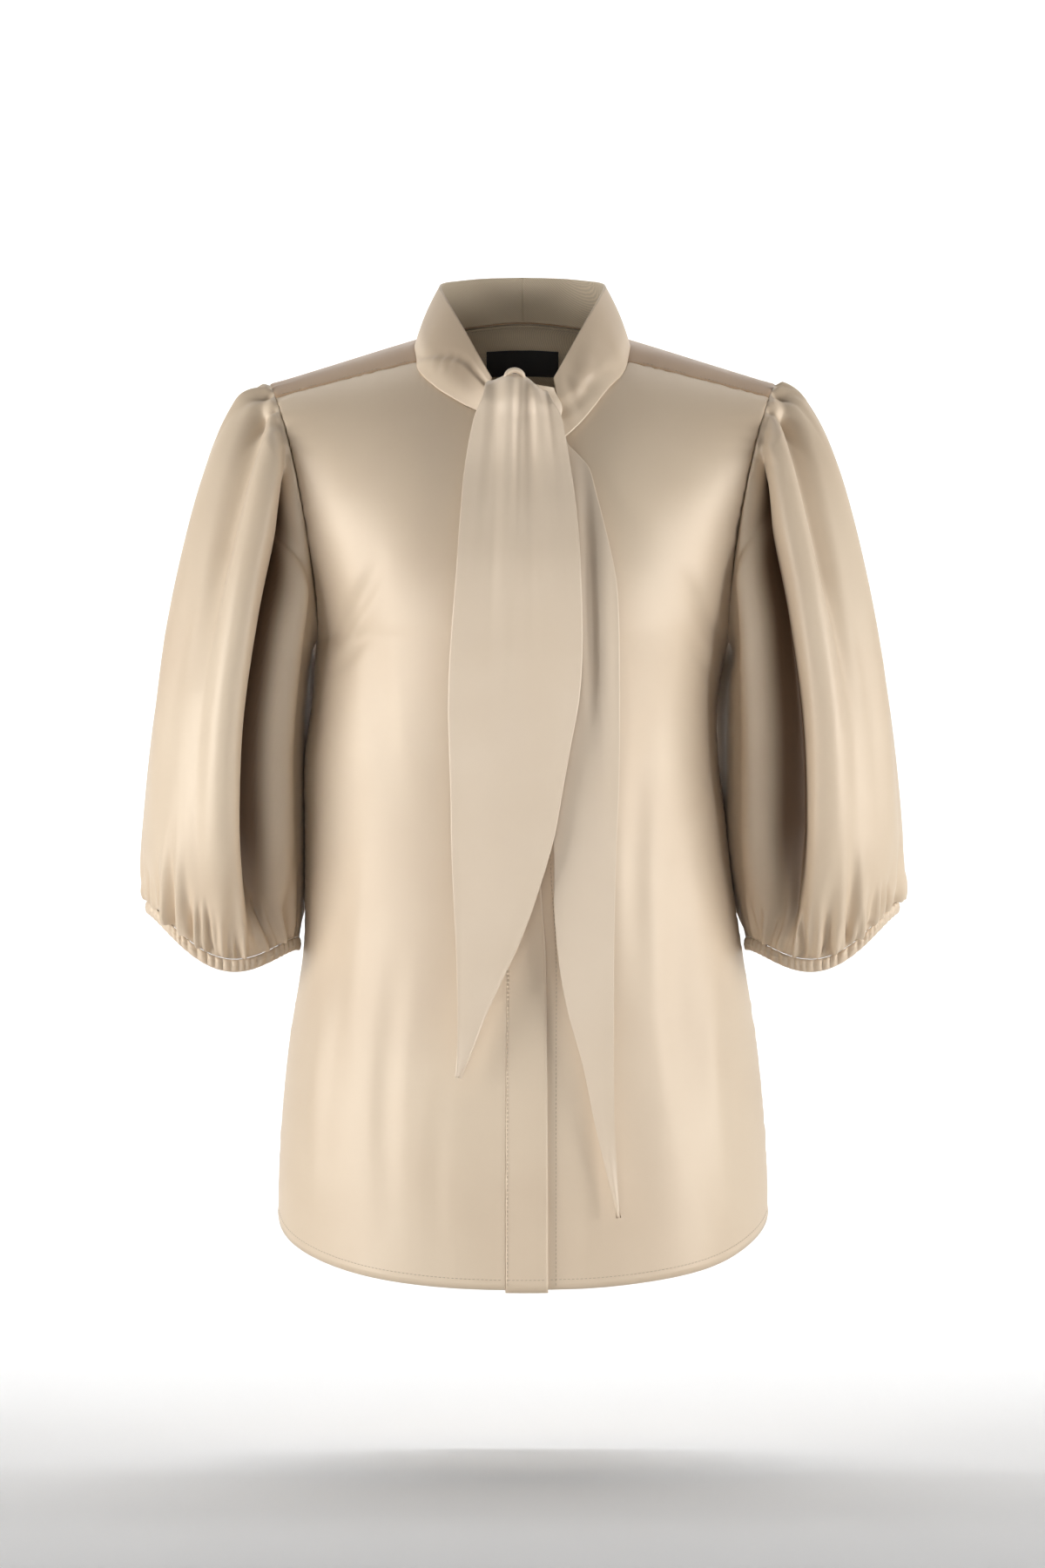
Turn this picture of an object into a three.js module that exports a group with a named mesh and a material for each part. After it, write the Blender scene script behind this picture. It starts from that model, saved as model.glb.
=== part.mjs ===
import * as THREE from 'three';

// Blouse with a tie neck, worn form, hollow. Millimetres: X to the wearer's left, Y to the back, Z up.
// The origin lies between the two side neck points, where the wearer's shoulders carry the yoke.

const CLOTH = 1.5; // wall of the body, yoke and sleeves
const COLLAR_WALL = 2.0; // folded collar, two layers of cloth
const TIE_WALL = 2.2; // folded tie ends
const PLACKET_WALL = 2.2; // folded band of the closure
const STRIP_WALL = 1.0; // inner neck strip and label
const YOKE_SAG = 0.95; // how far the yoke's flats lie inside its curve
const SEAM = 0.3; // space between two pieces at a seam
const SIDE_Y = 2; // depth of the side seams
const UNDERARM_Z = -212;
const HEM_CENTRE_Z = -669;
const HEM_SIDE_Z = -620;
const HEM_POWER = 2.1; // how late the hem turns up towards the side seam
const HEM_TURN = 0.5; // extra wall where the hem is turned
const HEM_HALF = 176; // half width at the hem
const ROUNDNESS = 2.3; // squareness of the body sections
const PLACKET_FROM = -12; // stitched edge of the placket
const PLACKET_TO = 18; // free edge of the placket
const UNDERLAP_TO = -10.5; // edge of the left front behind the placket
const UNDERLAP_DROP = 2.95; // how far the left front lies behind the placket
const UNDERLAP_EASE = { from: 20, over: 26 }; // where the left front comes forward again
const PLACKET_HANGS = 2; // how far the placket hangs below the fronts
const SHOULDER_SOFT = 0.3; // rounding of the shoulder line over the middle
const OVAL_BLEND = { from: 35, over: 55 }; // angles where the shoulder's section turns into an oval
const YOKE_FRONT = 30; // armhole angle of the front yoke seam
const YOKE_BACK = -70; // armhole angle of the back yoke seam
const CUFF_RUCHES = 48;
const CUFF_RUCHE_DEPTH = 0.7;
const CUFF_HEIGHT = 9;
const CUFF_SWELL = 1.0;
const CUFF_WALL = 1.8;
const SLEEVE_COLUMNS = 72;

// Body below the underarm: height, half width, sideways shift, depth of the front, depth of the back.
const BODY = [
  { z: -212, half: 147, shift: 0, front: -128, back: 112 },
  { z: -250, half: 145.5, shift: -5, front: -126, back: 110 },
  { z: -295, half: 148.5, shift: -8, front: -122, back: 104 },
  { z: -340, half: 151, shift: -5.5, front: -119, back: 100 },
  { z: -385, half: 153.5, shift: -3, front: -118, back: 100 },
  { z: -434, half: 157.5, shift: 0, front: -119, back: 104 },
  { z: -507, half: 168.5, shift: 0, front: -123, back: 112 },
  { z: -587, half: 175, shift: 0, front: -127, back: 119 },
  { z: -669, half: 176, shift: 0, front: -129, back: 123 },
];

// Body above the underarm, by angle round the armhole (0 shoulder, 180 underarm at the front, minus at the
// back): rise of the middle over the armhole, depth of the middle line, fullness of the section.
const CHEST = [
  { s: -180, rise: 0, mid: 112, full: 2 },
  { s: -150, rise: 1, mid: 112, full: 1.95 },
  { s: -120, rise: 4, mid: 108, full: 1.8 },
  { s: -90, rise: 12, mid: 99, full: 1.6 },
  { s: -70, rise: 24, mid: 88, full: 1.5 },
  { s: -50, rise: 40, mid: 74, full: 1.4 },
  { s: -25, rise: 51.5, mid: 50, full: 1.3 },
  { s: 0, rise: 42.7, mid: 4, full: 1.3 },
  { s: 30, rise: 36, mid: -34, full: 1.3 },
  { s: 60, rise: 28, mid: -72, full: 1.5 },
  { s: 90, rise: 12, mid: -106, full: 1.7 },
  { s: 120, rise: 4, mid: -122, full: 1.9 },
  { s: 150, rise: 1, mid: -128, full: 2 },
  { s: 180, rise: 0, mid: -128, full: 2 },
];

// Neck seam from the centre back (n 0) to the centre front (n 11): sideways distance and armhole angle of
// its row.
const NECK = [
  { n: 0, x: 0, s: -25 }, { n: 1, x: 28, s: -24 }, { n: 2, x: 52, s: -19 }, { n: 3, x: 69, s: -10 },
  { n: 4, x: 77, s: 4 }, { n: 5, x: 75, s: 30 }, { n: 6, x: 70.5, s: 42 }, { n: 7, x: 59, s: 53 },
  { n: 8, x: 46, s: 60.5 }, { n: 9, x: 35, s: 65 }, { n: 10, x: 18, s: 70 }, { n: 11, x: 0, s: 72 },
];
const NECK_CORNER = 5; // neck seam meets the front yoke seam

// Top fold of the collar, by the same stations.
const COLLAR_TOP = [
  { n: 0, x: 0, y: 50, z: 52 }, { n: 1, x: 28, y: 46, z: 51 }, { n: 2, x: 46, y: 34, z: 48.5 },
  { n: 3, x: 56, y: 18, z: 46 }, { n: 4, x: 59.5, y: 0, z: 42 }, { n: 5, x: 55.5, y: -22, z: 33 },
  { n: 6, x: 50, y: -38, z: 23 }, { n: 7, x: 41, y: -54, z: 7 }, { n: 8, x: 33, y: -66, z: -8 },
  { n: 9, x: 27, y: -75, z: -19 }, { n: 9.6, x: 22, y: -81, z: -28 },
];

// How the wearer's left half leaves the neck seam and runs down to the knot: shift of the lower edge.
const COLLAR_DROP = [
  { n: 0, x: 0, y: 0, z: 0 }, { n: 6, x: 0, y: 0, z: 0 }, { n: 7, x: 1, y: -4.2, z: -0.5 },
  { n: 8, x: 1, y: -10.5, z: -9 }, { n: 9, x: 0, y: -15, z: -16 }, { n: 9.6, x: 2, y: -15.5, z: -18 },
];

// Sleeve sections from the armhole (v 0) to the cuff seam (v 1), for the wearer's left arm: outermost point,
// front, innermost point and back of each, and how far its slopes are straightened towards the lowest point.
const SLEEVE = [
  { v: 0, xOut: 181, zOut: -28, xFront: 157.5, yFront: -58, zFront: -110, xIn: 147, zIn: -212,
    xBack: 166, yBack: 62, zBack: -100, peak: 0 },
  { v: 0.08, xOut: 199, zOut: -38, xFront: 161, yFront: -65, zFront: -114, xIn: 149.5, zIn: -216,
    xBack: 169, yBack: 69, zBack: -105, peak: 0 },
  { v: 0.25, xOut: 226, zOut: -86, xFront: 172, yFront: -77, zFront: -136, xIn: 151.5, zIn: -224,
    xBack: 178, yBack: 79, zBack: -130, peak: 0 },
  { v: 0.42, xOut: 248, zOut: -168, xFront: 190, yFront: -85, zFront: -190, xIn: 154, zIn: -243,
    xBack: 193, yBack: 86, zBack: -184, peak: 0 },
  { v: 0.58, xOut: 264, zOut: -262, xFront: 207, yFront: -86, zFront: -274, xIn: 158, zIn: -296,
    xBack: 208, yBack: 87, zBack: -270, peak: 0 },
  { v: 0.75, xOut: 273, zOut: -350, xFront: 215, yFront: -80, zFront: -364, xIn: 157.9, zIn: -366,
    xBack: 216, yBack: 81, zBack: -356, peak: 1 },
  { v: 0.92, xOut: 272, zOut: -388, xFront: 215, yFront: -60, zFront: -425, xIn: 158.7, zIn: -411,
    xBack: 216, yBack: 64, zBack: -392, peak: 3.5 },
  { v: 1, xOut: 269, zOut: -399, xFront: 214, yFront: -46, zFront: -438.6, xIn: 160.2, zIn: -425,
    xBack: 214, yBack: 50, zBack: -404.6, peak: 5 },
];
const SLEEVE_RINGS = [0, 0.035, 0.08, 0.15, 0.24, 0.36, 0.5, 0.64, 0.77, 0.87, 0.945, 1];
const SHOULDER_Y = 4; // depth of the outermost point of the armhole
const LEFT_SLACK = { by: 11.5, at: 0.62, over: 0.4 }; // how the left sleeve's inner side follows the waist
// Where each sleeve rests against the body behind the side seam: angle, half width, extent and reach.
const REST = { angle: -150, wide: 30, from: 0.3, to: 0.99, right: 9, left: 11 };
const CUFF_CENTRE_X = 214;
const FOLD_SPREAD = 1.6; // how far a fold's rounding reaches past its half width

// Large sleeve folds: angle at the upper and lower end, extent, half width in degrees, depth (minus is a
// valley).
const SLEEVE_FOLDS = {
  right: [
    { top: 74, bottom: 132, from: 0.02, to: 1.1, wide: 17, deep: -17 },
    { top: 100, bottom: 156, from: 0.12, to: 1.05, wide: 11, deep: 5 },
    { top: 52, bottom: 98, from: 0.03, to: 0.95, wide: 17, deep: 6 },
    { top: 30, bottom: 62, from: 0.02, to: 0.5, wide: 11, deep: -4 },
    { top: 16, bottom: 30, from: 0.02, to: 0.75, wide: 14, deep: 4 },
    { top: -35, bottom: -60, from: 0.02, to: 0.6, wide: 14, deep: -5 },
    { top: -80, bottom: -128, from: 0.03, to: 1.0, wide: 18, deep: -12 },
    { top: -60, bottom: -95, from: 0.05, to: 0.9, wide: 15, deep: 5 },
  ],
  left: [
    { top: 68, bottom: 128, from: 0.02, to: 1.1, wide: 18, deep: -16 },
    { top: 96, bottom: 154, from: 0.1, to: 1.05, wide: 11, deep: 5 },
    { top: 48, bottom: 92, from: 0.03, to: 0.9, wide: 16, deep: 6 },
    { top: 26, bottom: 66, from: 0.02, to: 0.6, wide: 10, deep: -6 },
    { top: 12, bottom: 36, from: 0.02, to: 0.8, wide: 13, deep: 4 },
    { top: -30, bottom: -66, from: 0.02, to: 0.55, wide: 13, deep: -5 },
    { top: -76, bottom: -122, from: 0.03, to: 1.0, wide: 17, deep: -12 },
    { top: -54, bottom: -90, from: 0.05, to: 0.9, wide: 15, deep: 5 },
  ],
};

// Tie end that falls over the knot: height, left edge, right edge and depth of its front.
const TIE_OVER = [
  { z: -38, left: -16, right: 14, y: -84.5 }, { z: -29, left: -20, right: 15, y: -86 },
  { z: -26, left: -23, right: 16, y: -92 }, { z: -29, left: -26, right: 18, y: -100 },
  { z: -42, left: -28.6, right: 22, y: -107 }, { z: -57, left: -34, right: 27.4, y: -109 },
  { z: -88, left: -40, right: 33, y: -115 }, { z: -125, left: -43.5, right: 38, y: -128 },
  { z: -164, left: -46.2, right: 40.7, y: -138 }, { z: -220, left: -50.5, right: 41.9, y: -142 },
  { z: -257, left: -52, right: 39.5, y: -142 }, { z: -287, left: -51.4, right: 34, y: -142 },
  { z: -328, left: -50.1, right: 26.7, y: -141 }, { z: -356, left: -49.8, right: 21.3, y: -141 },
  { z: -400, left: -48, right: 7.9, y: -140 }, { z: -427, left: -46.5, right: -2.4, y: -140 },
  { z: -452, left: -45.8, right: -14, y: -139 }, { z: -474, left: -45.6, right: -24.3, y: -139 },
  { z: -500, left: -45.6, right: -34.6, y: -138 }, { z: -520, left: -45.8, right: -44, y: -138 },
];

// Tie end that hangs behind: the same columns.
const TIE_UNDER = [
  { z: -63.65, left: 6, right: 26, y: -99.6 }, { z: -76, left: 1.8, right: 32, y: -104.5 },
  { z: -84, left: 0, right: 39.5, y: -106 }, { z: -93, left: -1, right: 46.8, y: -109 },
  { z: -108, left: -2, right: 51.1, y: -114.5 }, { z: -145, left: -1.8, right: 60.2, y: -125.5 },
  { z: -173, left: -1, right: 65.7, y: -131 }, { z: -201, left: 0, right: 67.5, y: -133.3 },
  { z: -257, left: 4.3, right: 68.1, y: -133.8 }, { z: -315, left: 13.4, right: 67.5, y: -133.8 },
  { z: -358, left: 21.3, right: 65.7, y: -133.8 }, { z: -400, left: 21.9, right: 64.5, y: -133.8 },
  { z: -441, left: 25.6, right: 63.9, y: -134 }, { z: -474, left: 31.6, right: 63.9, y: -134 },
  { z: -511, left: 42, right: 63.9, y: -134.2 }, { z: -555, left: 51.1, right: 64.5, y: -134.5 },
  { z: -588, left: 59, right: 66.3, y: -134.5 }, { z: -618, left: 66.3, right: 68, y: -134.5 },
];

const TIE_CROWN = { over: -2.6, under: -0.9 }; // how far the middle of each tie end stands forward
const TIE_LIFT = -1.6; // how far the open part of a tie end stands forward
const TIE_FULL = 40; // width from which a tie end has its full crown
const TIE_ROOT = 3; // rows of the upper tie end inside the knot, without crown
const TIE_TOP_Z = -29; // where the pleats leave the knot

const KNOT = {
  x: 3.4, y: -93.85, top: -33, bottom: -61, halfWidth: 21, halfDepth: 5.4, wall: 2, columns: 26,
  pinch: 0.1, lean: 3, back: -2.5, belly: 1.2, slant: -3,
};

// Collar band: its height over the neck seam, the roll of its face, the point that the roll turns away from
// and the share of the wall at its top fold.
const COLLAR = { lift: 0.45, crown: 1.6, aimY: 10, aimZ: 30, thinTop: 0.7 };

const SATIN = { color: '#d2c3ac', roughness: 0.38, metalness: 0 };
const SATIN_YOKE = { color: '#b39a7d', roughness: 0.4, metalness: 0 };
const SATIN_DEEP = { color: '#c9b79c', roughness: 0.42, metalness: 0 };
const INNER_CLOTH = { color: '#978a70', roughness: 0.7, metalness: 0 };
const LABEL_CLOTH = { color: '#101114', roughness: 0.8, metalness: 0 };

const rad = (deg) => (deg * Math.PI) / 180;
const plus = (a, b, k = 1) => [a[0] + b[0] * k, a[1] + b[1] * k, a[2] + b[2] * k];
const minus = (a, b) => plus(a, b, -1);
const cross = (a, b) => [a[1] * b[2] - a[2] * b[1], a[2] * b[0] - a[0] * b[2], a[0] * b[1] - a[1] * b[0]];
const dot = (a, b) => a[0] * b[0] + a[1] * b[1] + a[2] * b[2];
const unit = (a) => {
  const length = Math.hypot(a[0], a[1], a[2]) || 1;
  return [a[0] / length, a[1] / length, a[2] / length];
};
const mix = (a, b, t) => a + (b - a) * t;
const clamp = (t, low = 0, high = 1) => Math.min(high, Math.max(low, t));
const smooth = (t) => clamp(t) * clamp(t) * (3 - 2 * clamp(t));
const bump = (t) => (Math.abs(t) >= 1 ? 0 : Math.cos((t * Math.PI) / 2) ** 2);
const steps = (from, to, count) => Array.from({ length: count + 1 }, (_, i) => mix(from, to, i / count));

// Smooth curve through the rows of a table, read at one value of its key column.
function read(table, key, column, at) {
  const rising = table[table.length - 1][key] > table[0][key];
  let i = 0;
  while (i < table.length - 2 && (rising ? at > table[i + 1][key] : at < table[i + 1][key])) i += 1;
  const slope = (k) => {
    const a = table[Math.max(0, k - 1)];
    const b = table[Math.min(table.length - 1, k + 1)];
    return (b[column] - a[column]) / (b[key] - a[key]);
  };
  const here = table[i];
  const next = table[i + 1];
  const width = next[key] - here[key];
  const t = clamp((at - here[key]) / width);
  const t2 = t * t;
  const t3 = t2 * t;
  return (2 * t3 - 3 * t2 + 1) * here[column] + (t3 - 2 * t2 + t) * width * slope(i)
    + (3 * t2 - 2 * t3) * next[column] + (t3 - t2) * width * slope(i + 1);
}

// Closed curve through four compass points, at an angle from the outermost point towards the front.
function compass(row, angle) {
  const a = rad(angle);
  const ring = (out, front, inner, back) => {
    const mean = (out + front + inner + back) / 4;
    const twice = (out - front + inner - back) / 4;
    return mean + ((out - inner) / 2) * Math.cos(a) + ((front - back) / 2) * Math.sin(a)
      + twice * Math.cos(2 * a);
  };
  const y = SHOULDER_Y * (1 + Math.cos(a)) / 2 + SIDE_Y * (1 - Math.cos(a)) / 2;
  const reach = Math.sin(a) > 0 ? row.yFront - y : y - row.yBack;
  return [
    ring(row.xOut, row.xFront, row.xIn, row.xBack),
    y + Math.sin(a) * reach,
    ring(row.zOut, row.zFront, row.zIn, row.zBack) + row.peak * (Math.sin(3 * a) + Math.sin(a)),
  ];
}

const armhole = (side, angle) => {
  const p = compass(SLEEVE[0], angle);
  return [side * p[0], p[1], p[2]];
};

const hemHeight = (g) => {
  const turn = Math.asin(clamp(Math.abs(g))) / (Math.PI / 2);
  return HEM_CENTRE_Z + (HEM_SIDE_Z - HEM_CENTRE_Z) * turn ** HEM_POWER;
};

// Body surface. g runs across from the wearer's right (-1) over the middle (0) to the left (1). s runs up the
// front from the hem (280) by the underarm (180) to the shoulder line (0) and on to the hem of the back (-280).
function torso(g, s) {
  const side = g < 0 ? -1 : 1;
  const across = Math.abs(g);
  if (Math.abs(s) > 180) {
    const z = mix(UNDERARM_Z, hemHeight(g), (Math.abs(s) - 180) / 100);
    const shift = read(BODY, 'z', 'shift', z);
    const mid = read(BODY, 'z', s > 0 ? 'front' : 'back', z);
    const section = Math.sqrt(Math.max(0, 1 - across ** ROUNDNESS));
    return [shift + g * read(BODY, 'z', 'half', z), SIDE_Y + (mid - SIDE_Y) * section, z];
  }
  const edge = armhole(side, s);
  const soft = SHOULDER_SOFT;
  const level = (Math.hypot(1, soft) - Math.hypot(across, soft)) / (Math.hypot(1, soft) - soft);
  const full = read(CHEST, 's', 'full', s);
  const flat = Math.max(0, 1 - across ** ROUNDNESS) ** (1 / full);
  const mid = read(CHEST, 's', 'mid', s);
  const shoulder = edge[1] + (mid - edge[1]) * flat;
  // Away from the shoulder the section is the oval of the body below, cut off where the armhole meets it.
  const reach = 1 - ((edge[1] - SIDE_Y) / (mid - SIDE_Y)) ** 2;
  const oval = SIDE_Y + (mid - SIDE_Y) * Math.sqrt(Math.max(0, 1 - reach * across ** ROUNDNESS));
  const y = mix(shoulder, oval, smooth((Math.abs(s) - OVAL_BLEND.from) / OVAL_BLEND.over));
  return [edge[0] * across, y, edge[2] + read(CHEST, 's', 'rise', s) * level];
}

// Outward direction of the body surface.
function torsoNormal(g, s) {
  if (Math.abs(g) > 0.999 && Math.abs(s) >= 175) return [Math.sign(g), 0, 0];
  const tiny = 0.004;
  const across = minus(torso(Math.min(1, g + tiny), s), torso(Math.max(-1, g - tiny), s));
  return unit(cross(across, minus(torso(g, s - 1), torso(g, s + 1))));
}

// Point of the neck seam as body coordinates.
function neckAt(side, n) {
  const s = read(NECK, 'n', 's', n);
  return { g: (side * read(NECK, 'n', 'x', n)) / Math.abs(armhole(1, s)[0]), s };
}

// Closed wall on a grid of points: a second skin inside it, joined at the rims.
// `outward` is roughly the outer side at the grid's middle; `wall` may be a function of row and column, and
// `inwards` may give the direction through the wall at a point.
function cloth(name, finish, grid, wall, outward, closed = false, inwards = () => null) {
  const rows = grid.length;
  const columns = grid[0].length;
  const wallAt = typeof wall === 'function' ? wall : () => wall;
  const normalAt = (i, j) => {
    const left = closed ? grid[i][(j + columns - 1) % columns] : grid[i][Math.max(0, j - 1)];
    const right = closed ? grid[i][(j + 1) % columns] : grid[i][Math.min(columns - 1, j + 1)];
    const down = grid[Math.max(0, i - 1)][j];
    const up = grid[Math.min(rows - 1, i + 1)][j];
    return unit(cross(minus(right, left), minus(up, down)));
  };
  const middle = [Math.floor(rows / 2), Math.floor(columns / 2)];
  const sign = dot(normalAt(...middle), outward) >= 0 ? 1 : -1;
  const points = [];
  grid.forEach((row) => row.forEach((p) => points.push(p)));
  grid.forEach((row, i) => row.forEach((p, j) => {
    const inward = inwards(i, j);
    points.push(inward ? plus(p, inward, wallAt(i, j)) : plus(p, normalAt(i, j), -sign * wallAt(i, j)));
  }));
  const inner = rows * columns;
  const faces = [];
  const quad = (a, b, c, d) => {
    faces.push(...(sign > 0 ? [a, b, c, a, c, d] : [a, c, b, a, d, c]));
  };
  const across = closed ? columns : columns - 1;
  for (let i = 0; i < rows - 1; i += 1) {
    for (let j = 0; j < across; j += 1) {
      const k = (j + 1) % columns;
      const [a, b, c, d] = [i * columns + j, i * columns + k, (i + 1) * columns + k, (i + 1) * columns + j];
      quad(a, b, c, d);
      quad(inner + d, inner + c, inner + b, inner + a);
    }
  }
  for (let j = 0; j < across; j += 1) {
    const k = (j + 1) % columns;
    const last = (rows - 1) * columns;
    quad(k, j, inner + j, inner + k);
    quad(last + j, last + k, inner + last + k, inner + last + j);
  }
  if (!closed) {
    for (let i = 0; i < rows - 1; i += 1) {
      const [a, b] = [i * columns, (i + 1) * columns];
      const [c, d] = [a + columns - 1, b + columns - 1];
      quad(a, b, inner + b, inner + a);
      quad(d, c, inner + c, inner + d);
    }
  }
  return mesh(name, finish, points, faces);
}

function mesh(name, finish, points, faces) {
  const geometry = new THREE.BufferGeometry();
  geometry.setAttribute('position', new THREE.Float32BufferAttribute(points.flat(), 3));
  geometry.setIndex(faces);
  geometry.computeVertexNormals();
  const made = new THREE.Mesh(geometry, new THREE.MeshStandardMaterial(finish));
  made.name = name;
  return made;
}

// Moves the first row, last row or left column of a grid back from its seam by half the seam space.
function trim(grid, edge) {
  const pull = (p, next) => plus(p, unit(minus(next, p)), SEAM / 2);
  const last = grid.length - 1;
  if (edge === 'first') grid[0] = grid[0].map((p, j) => pull(p, grid[1][j]));
  if (edge === 'last') grid[last] = grid[last].map((p, j) => pull(p, grid[last - 1][j]));
  if (edge === 'left') grid.forEach((row) => { row[0] = pull(row[0], row[1]); });
  return grid;
}

// Direction across the armhole seam, from the sleeve into the body.
function acrossArmhole(side, angle) {
  const seam = armhole(side, angle);
  const body = unit(minus(torso(side * 0.985, angle), seam));
  const sleeve = unit(minus(sleevePoint(side, angle, 0.03), seam));
  return unit(minus(body, sleeve));
}

// Direction through the wall at the armhole rim, shared by the body and the sleeve where they run on.
function rimInward(side, angle, ofSleeve) {
  const body = torsoNormal(side, angle);
  const along = minus(armhole(side, angle + 2), armhole(side, angle - 2));
  const down = minus(sleevePoint(side, angle, 0.03), armhole(side, angle));
  const raw = unit(cross(along, down));
  const skin = side > 0 ? raw : [-raw[0], -raw[1], -raw[2]];
  const shared = Math.max(0, dot(body, skin));
  const sum = ofSleeve ? plus(skin, body, shared) : plus(body, skin, shared);
  return unit([-sum[0], -sum[1], -sum[2]]);
}

// Panel of the body between columns given by their lower and upper place across and the row of their upper
// end.
function panel(columns, lowerRows, upperRows, front, offset = () => 0, drop = 0) {
  const sign = front ? 1 : -1;
  const lower = steps(280, 180, lowerRows).slice(0, -1);
  const upper = steps(0, 1, upperRows);
  const grid = [];
  grid.inward = [];
  const place = (g, s, column) => {
    const p = torso(g, s);
    const inward = offset(p[0], column);
    const normal = torsoNormal(g, s);
    row.push([-normal[0], -normal[1], -normal[2]]);
    return inward ? [p[0], p[1] + inward, p[2]] : p;
  };
  let row = [];
  const nextRow = () => {
    row = [];
    grid.inward.push(row);
  };
  lower.forEach((s, i) => {
    nextRow();
    grid.push(columns.map((c) => {
      const p = place(c.low, sign * s, c);
      return i === 0 ? [p[0], p[1], p[2] - drop] : p;
    }));
  });
  upper.forEach((t) => {
    nextRow();
    grid.push(columns.map((c) => place(mix(c.low, c.top, smooth(t)), mix(sign * 180, c.end, t), c)));
  });
  return grid;
}

// Seats the armhole edge of a panel on its side of the seam.
function seatArmhole(grid, side, column, firstRow, angles) {
  angles.forEach((angle, k) => {
    grid[firstRow + k][column] = plus(armhole(side, angle), acrossArmhole(side, angle), SEAM / 2);
    grid.inward[firstRow + k][column] = rimInward(side, angle, false);
  });
}

const LOWER_ROWS = 9;
const FRONT_UPPER_ROWS = 15;
const BACK_UPPER_ROWS = 11;
const YOKE_CELLS = 5;
const YOKE_SIDE_STEPS = 10; // along each armhole
const YOKE_BACK_STEPS = 8; // along each half of the back seam
const BACK_COLUMNS = 16;

function frontColumns(side, innerX, neckStops) {
  const stops = [];
  neckStops.forEach((n) => {
    const at = neckAt(n.side ?? side, n.n);
    stops.push({ top: at.g, end: at.s });
  });
  const corner = neckAt(side, NECK_CORNER);
  steps(0, 1, YOKE_CELLS).forEach((t) => {
    stops.push({ top: mix(corner.g, side, t), end: YOKE_FRONT });
  });
  const count = stops.length - 1;
  const first = Math.asin((side * innerX) / HEM_HALF) / (Math.PI / 2);
  return stops.map((stop, k) => {
    const turn = mix(first, 1, k / count);
    return { low: side * Math.sin(turn * (Math.PI / 2)), top: stop.top, end: stop.end };
  });
}

const hemWall = (i) => (i === 0 ? CLOTH + HEM_TURN : CLOTH);

function frontPanel(name, side) {
  const stops = side < 0
    ? [{ n: 10.35 }, { n: 9.7 }, { n: 9 }, { n: 8 }, { n: 7 }, { n: 6 }]
    : [{ n: 10.43, side: -1 }, { n: 10.6 }, { n: 9.7 }, { n: 9 }, { n: 8 }, { n: 7 }, { n: 6 }];
  const columns = frontColumns(side, side < 0 ? PLACKET_FROM : UNDERLAP_TO, stops);
  const ease = (x) => smooth((x - UNDERLAP_EASE.from) / UNDERLAP_EASE.over);
  const under = (x) => (side > 0 ? UNDERLAP_DROP * (1 - ease(x)) : 0);
  const grid = panel(columns, LOWER_ROWS, FRONT_UPPER_ROWS, true, under);
  const outer = columns.length - 1;
  trim(grid, 'last');
  if (side < 0) trim(grid, 'left');
  for (let i = 0; i < LOWER_ROWS; i += 1) {
    grid[i][outer] = plus(grid[i][outer], [0, -SEAM / 2, 0]);
  }
  seatArmhole(grid, side, outer, LOWER_ROWS, steps(180, YOKE_FRONT, FRONT_UPPER_ROWS).slice(0, -1));
  const corner = plus(armhole(side, YOKE_FRONT), acrossArmhole(side, YOKE_FRONT), SEAM / 2);
  grid[grid.length - 1][outer] = plus(corner, unit(minus(armhole(side, 40), armhole(side, 30))), SEAM / 2);
  grid.inward[grid.length - 1][outer] = rimInward(side, YOKE_FRONT, false);
  return cloth(name, SATIN, grid, hemWall, [side, -1, 0], false, (i, j) => grid.inward[i][j]);
}

function placket() {
  const place = [PLACKET_FROM, (PLACKET_FROM + PLACKET_TO) / 2, PLACKET_TO];
  const tops = [neckAt(-1, 10.35), neckAt(1, 10.85), neckAt(1, 10)];
  const columns = place.map((x, k) => ({ low: x / HEM_HALF, top: tops[k].g, end: tops[k].s }));
  const grid = panel(columns, LOWER_ROWS, FRONT_UPPER_ROWS, true, () => 0, PLACKET_HANGS);
  trim(grid, 'left');
  return cloth('placket', SATIN, grid, PLACKET_WALL, [0, -1, 0], false, (i, j) => grid.inward[i][j]);
}

function backPanel() {
  const across = steps(-90, 90, BACK_COLUMNS).map((a) => Math.sin(rad(a)));
  const columns = across.map((g) => ({ low: g, top: g, end: YOKE_BACK }));
  const grid = trim(panel(columns, LOWER_ROWS, BACK_UPPER_ROWS, false), 'last');
  const angles = steps(-180, YOKE_BACK, BACK_UPPER_ROWS);
  [[-1, 0], [1, BACK_COLUMNS]].forEach(([side, column]) => {
    for (let i = 0; i < LOWER_ROWS; i += 1) grid[i][column] = plus(grid[i][column], [0, SEAM / 2, 0]);
    seatArmhole(grid, side, column, LOWER_ROWS, angles.slice(0, -1));
    const corner = plus(armhole(side, YOKE_BACK), acrossArmhole(side, YOKE_BACK), SEAM / 2);
    const last = grid.length - 1;
    grid[last][column] = plus(corner, unit(minus(armhole(side, -80), armhole(side, -70))), SEAM / 2);
    grid.inward[last][column] = rimInward(side, YOKE_BACK, false);
  });
  return cloth('back', SATIN, grid, hemWall, [0, 1, 0], false, (i, j) => grid.inward[i][j]);
}

// Stations round the neck from the wearer's right front corner by the centre back to the left one.
const NECK_HALF = [...steps(NECK_CORNER, 2.5, YOKE_SIDE_STEPS), ...steps(2.5, 0, YOKE_BACK_STEPS).slice(1)];

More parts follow.
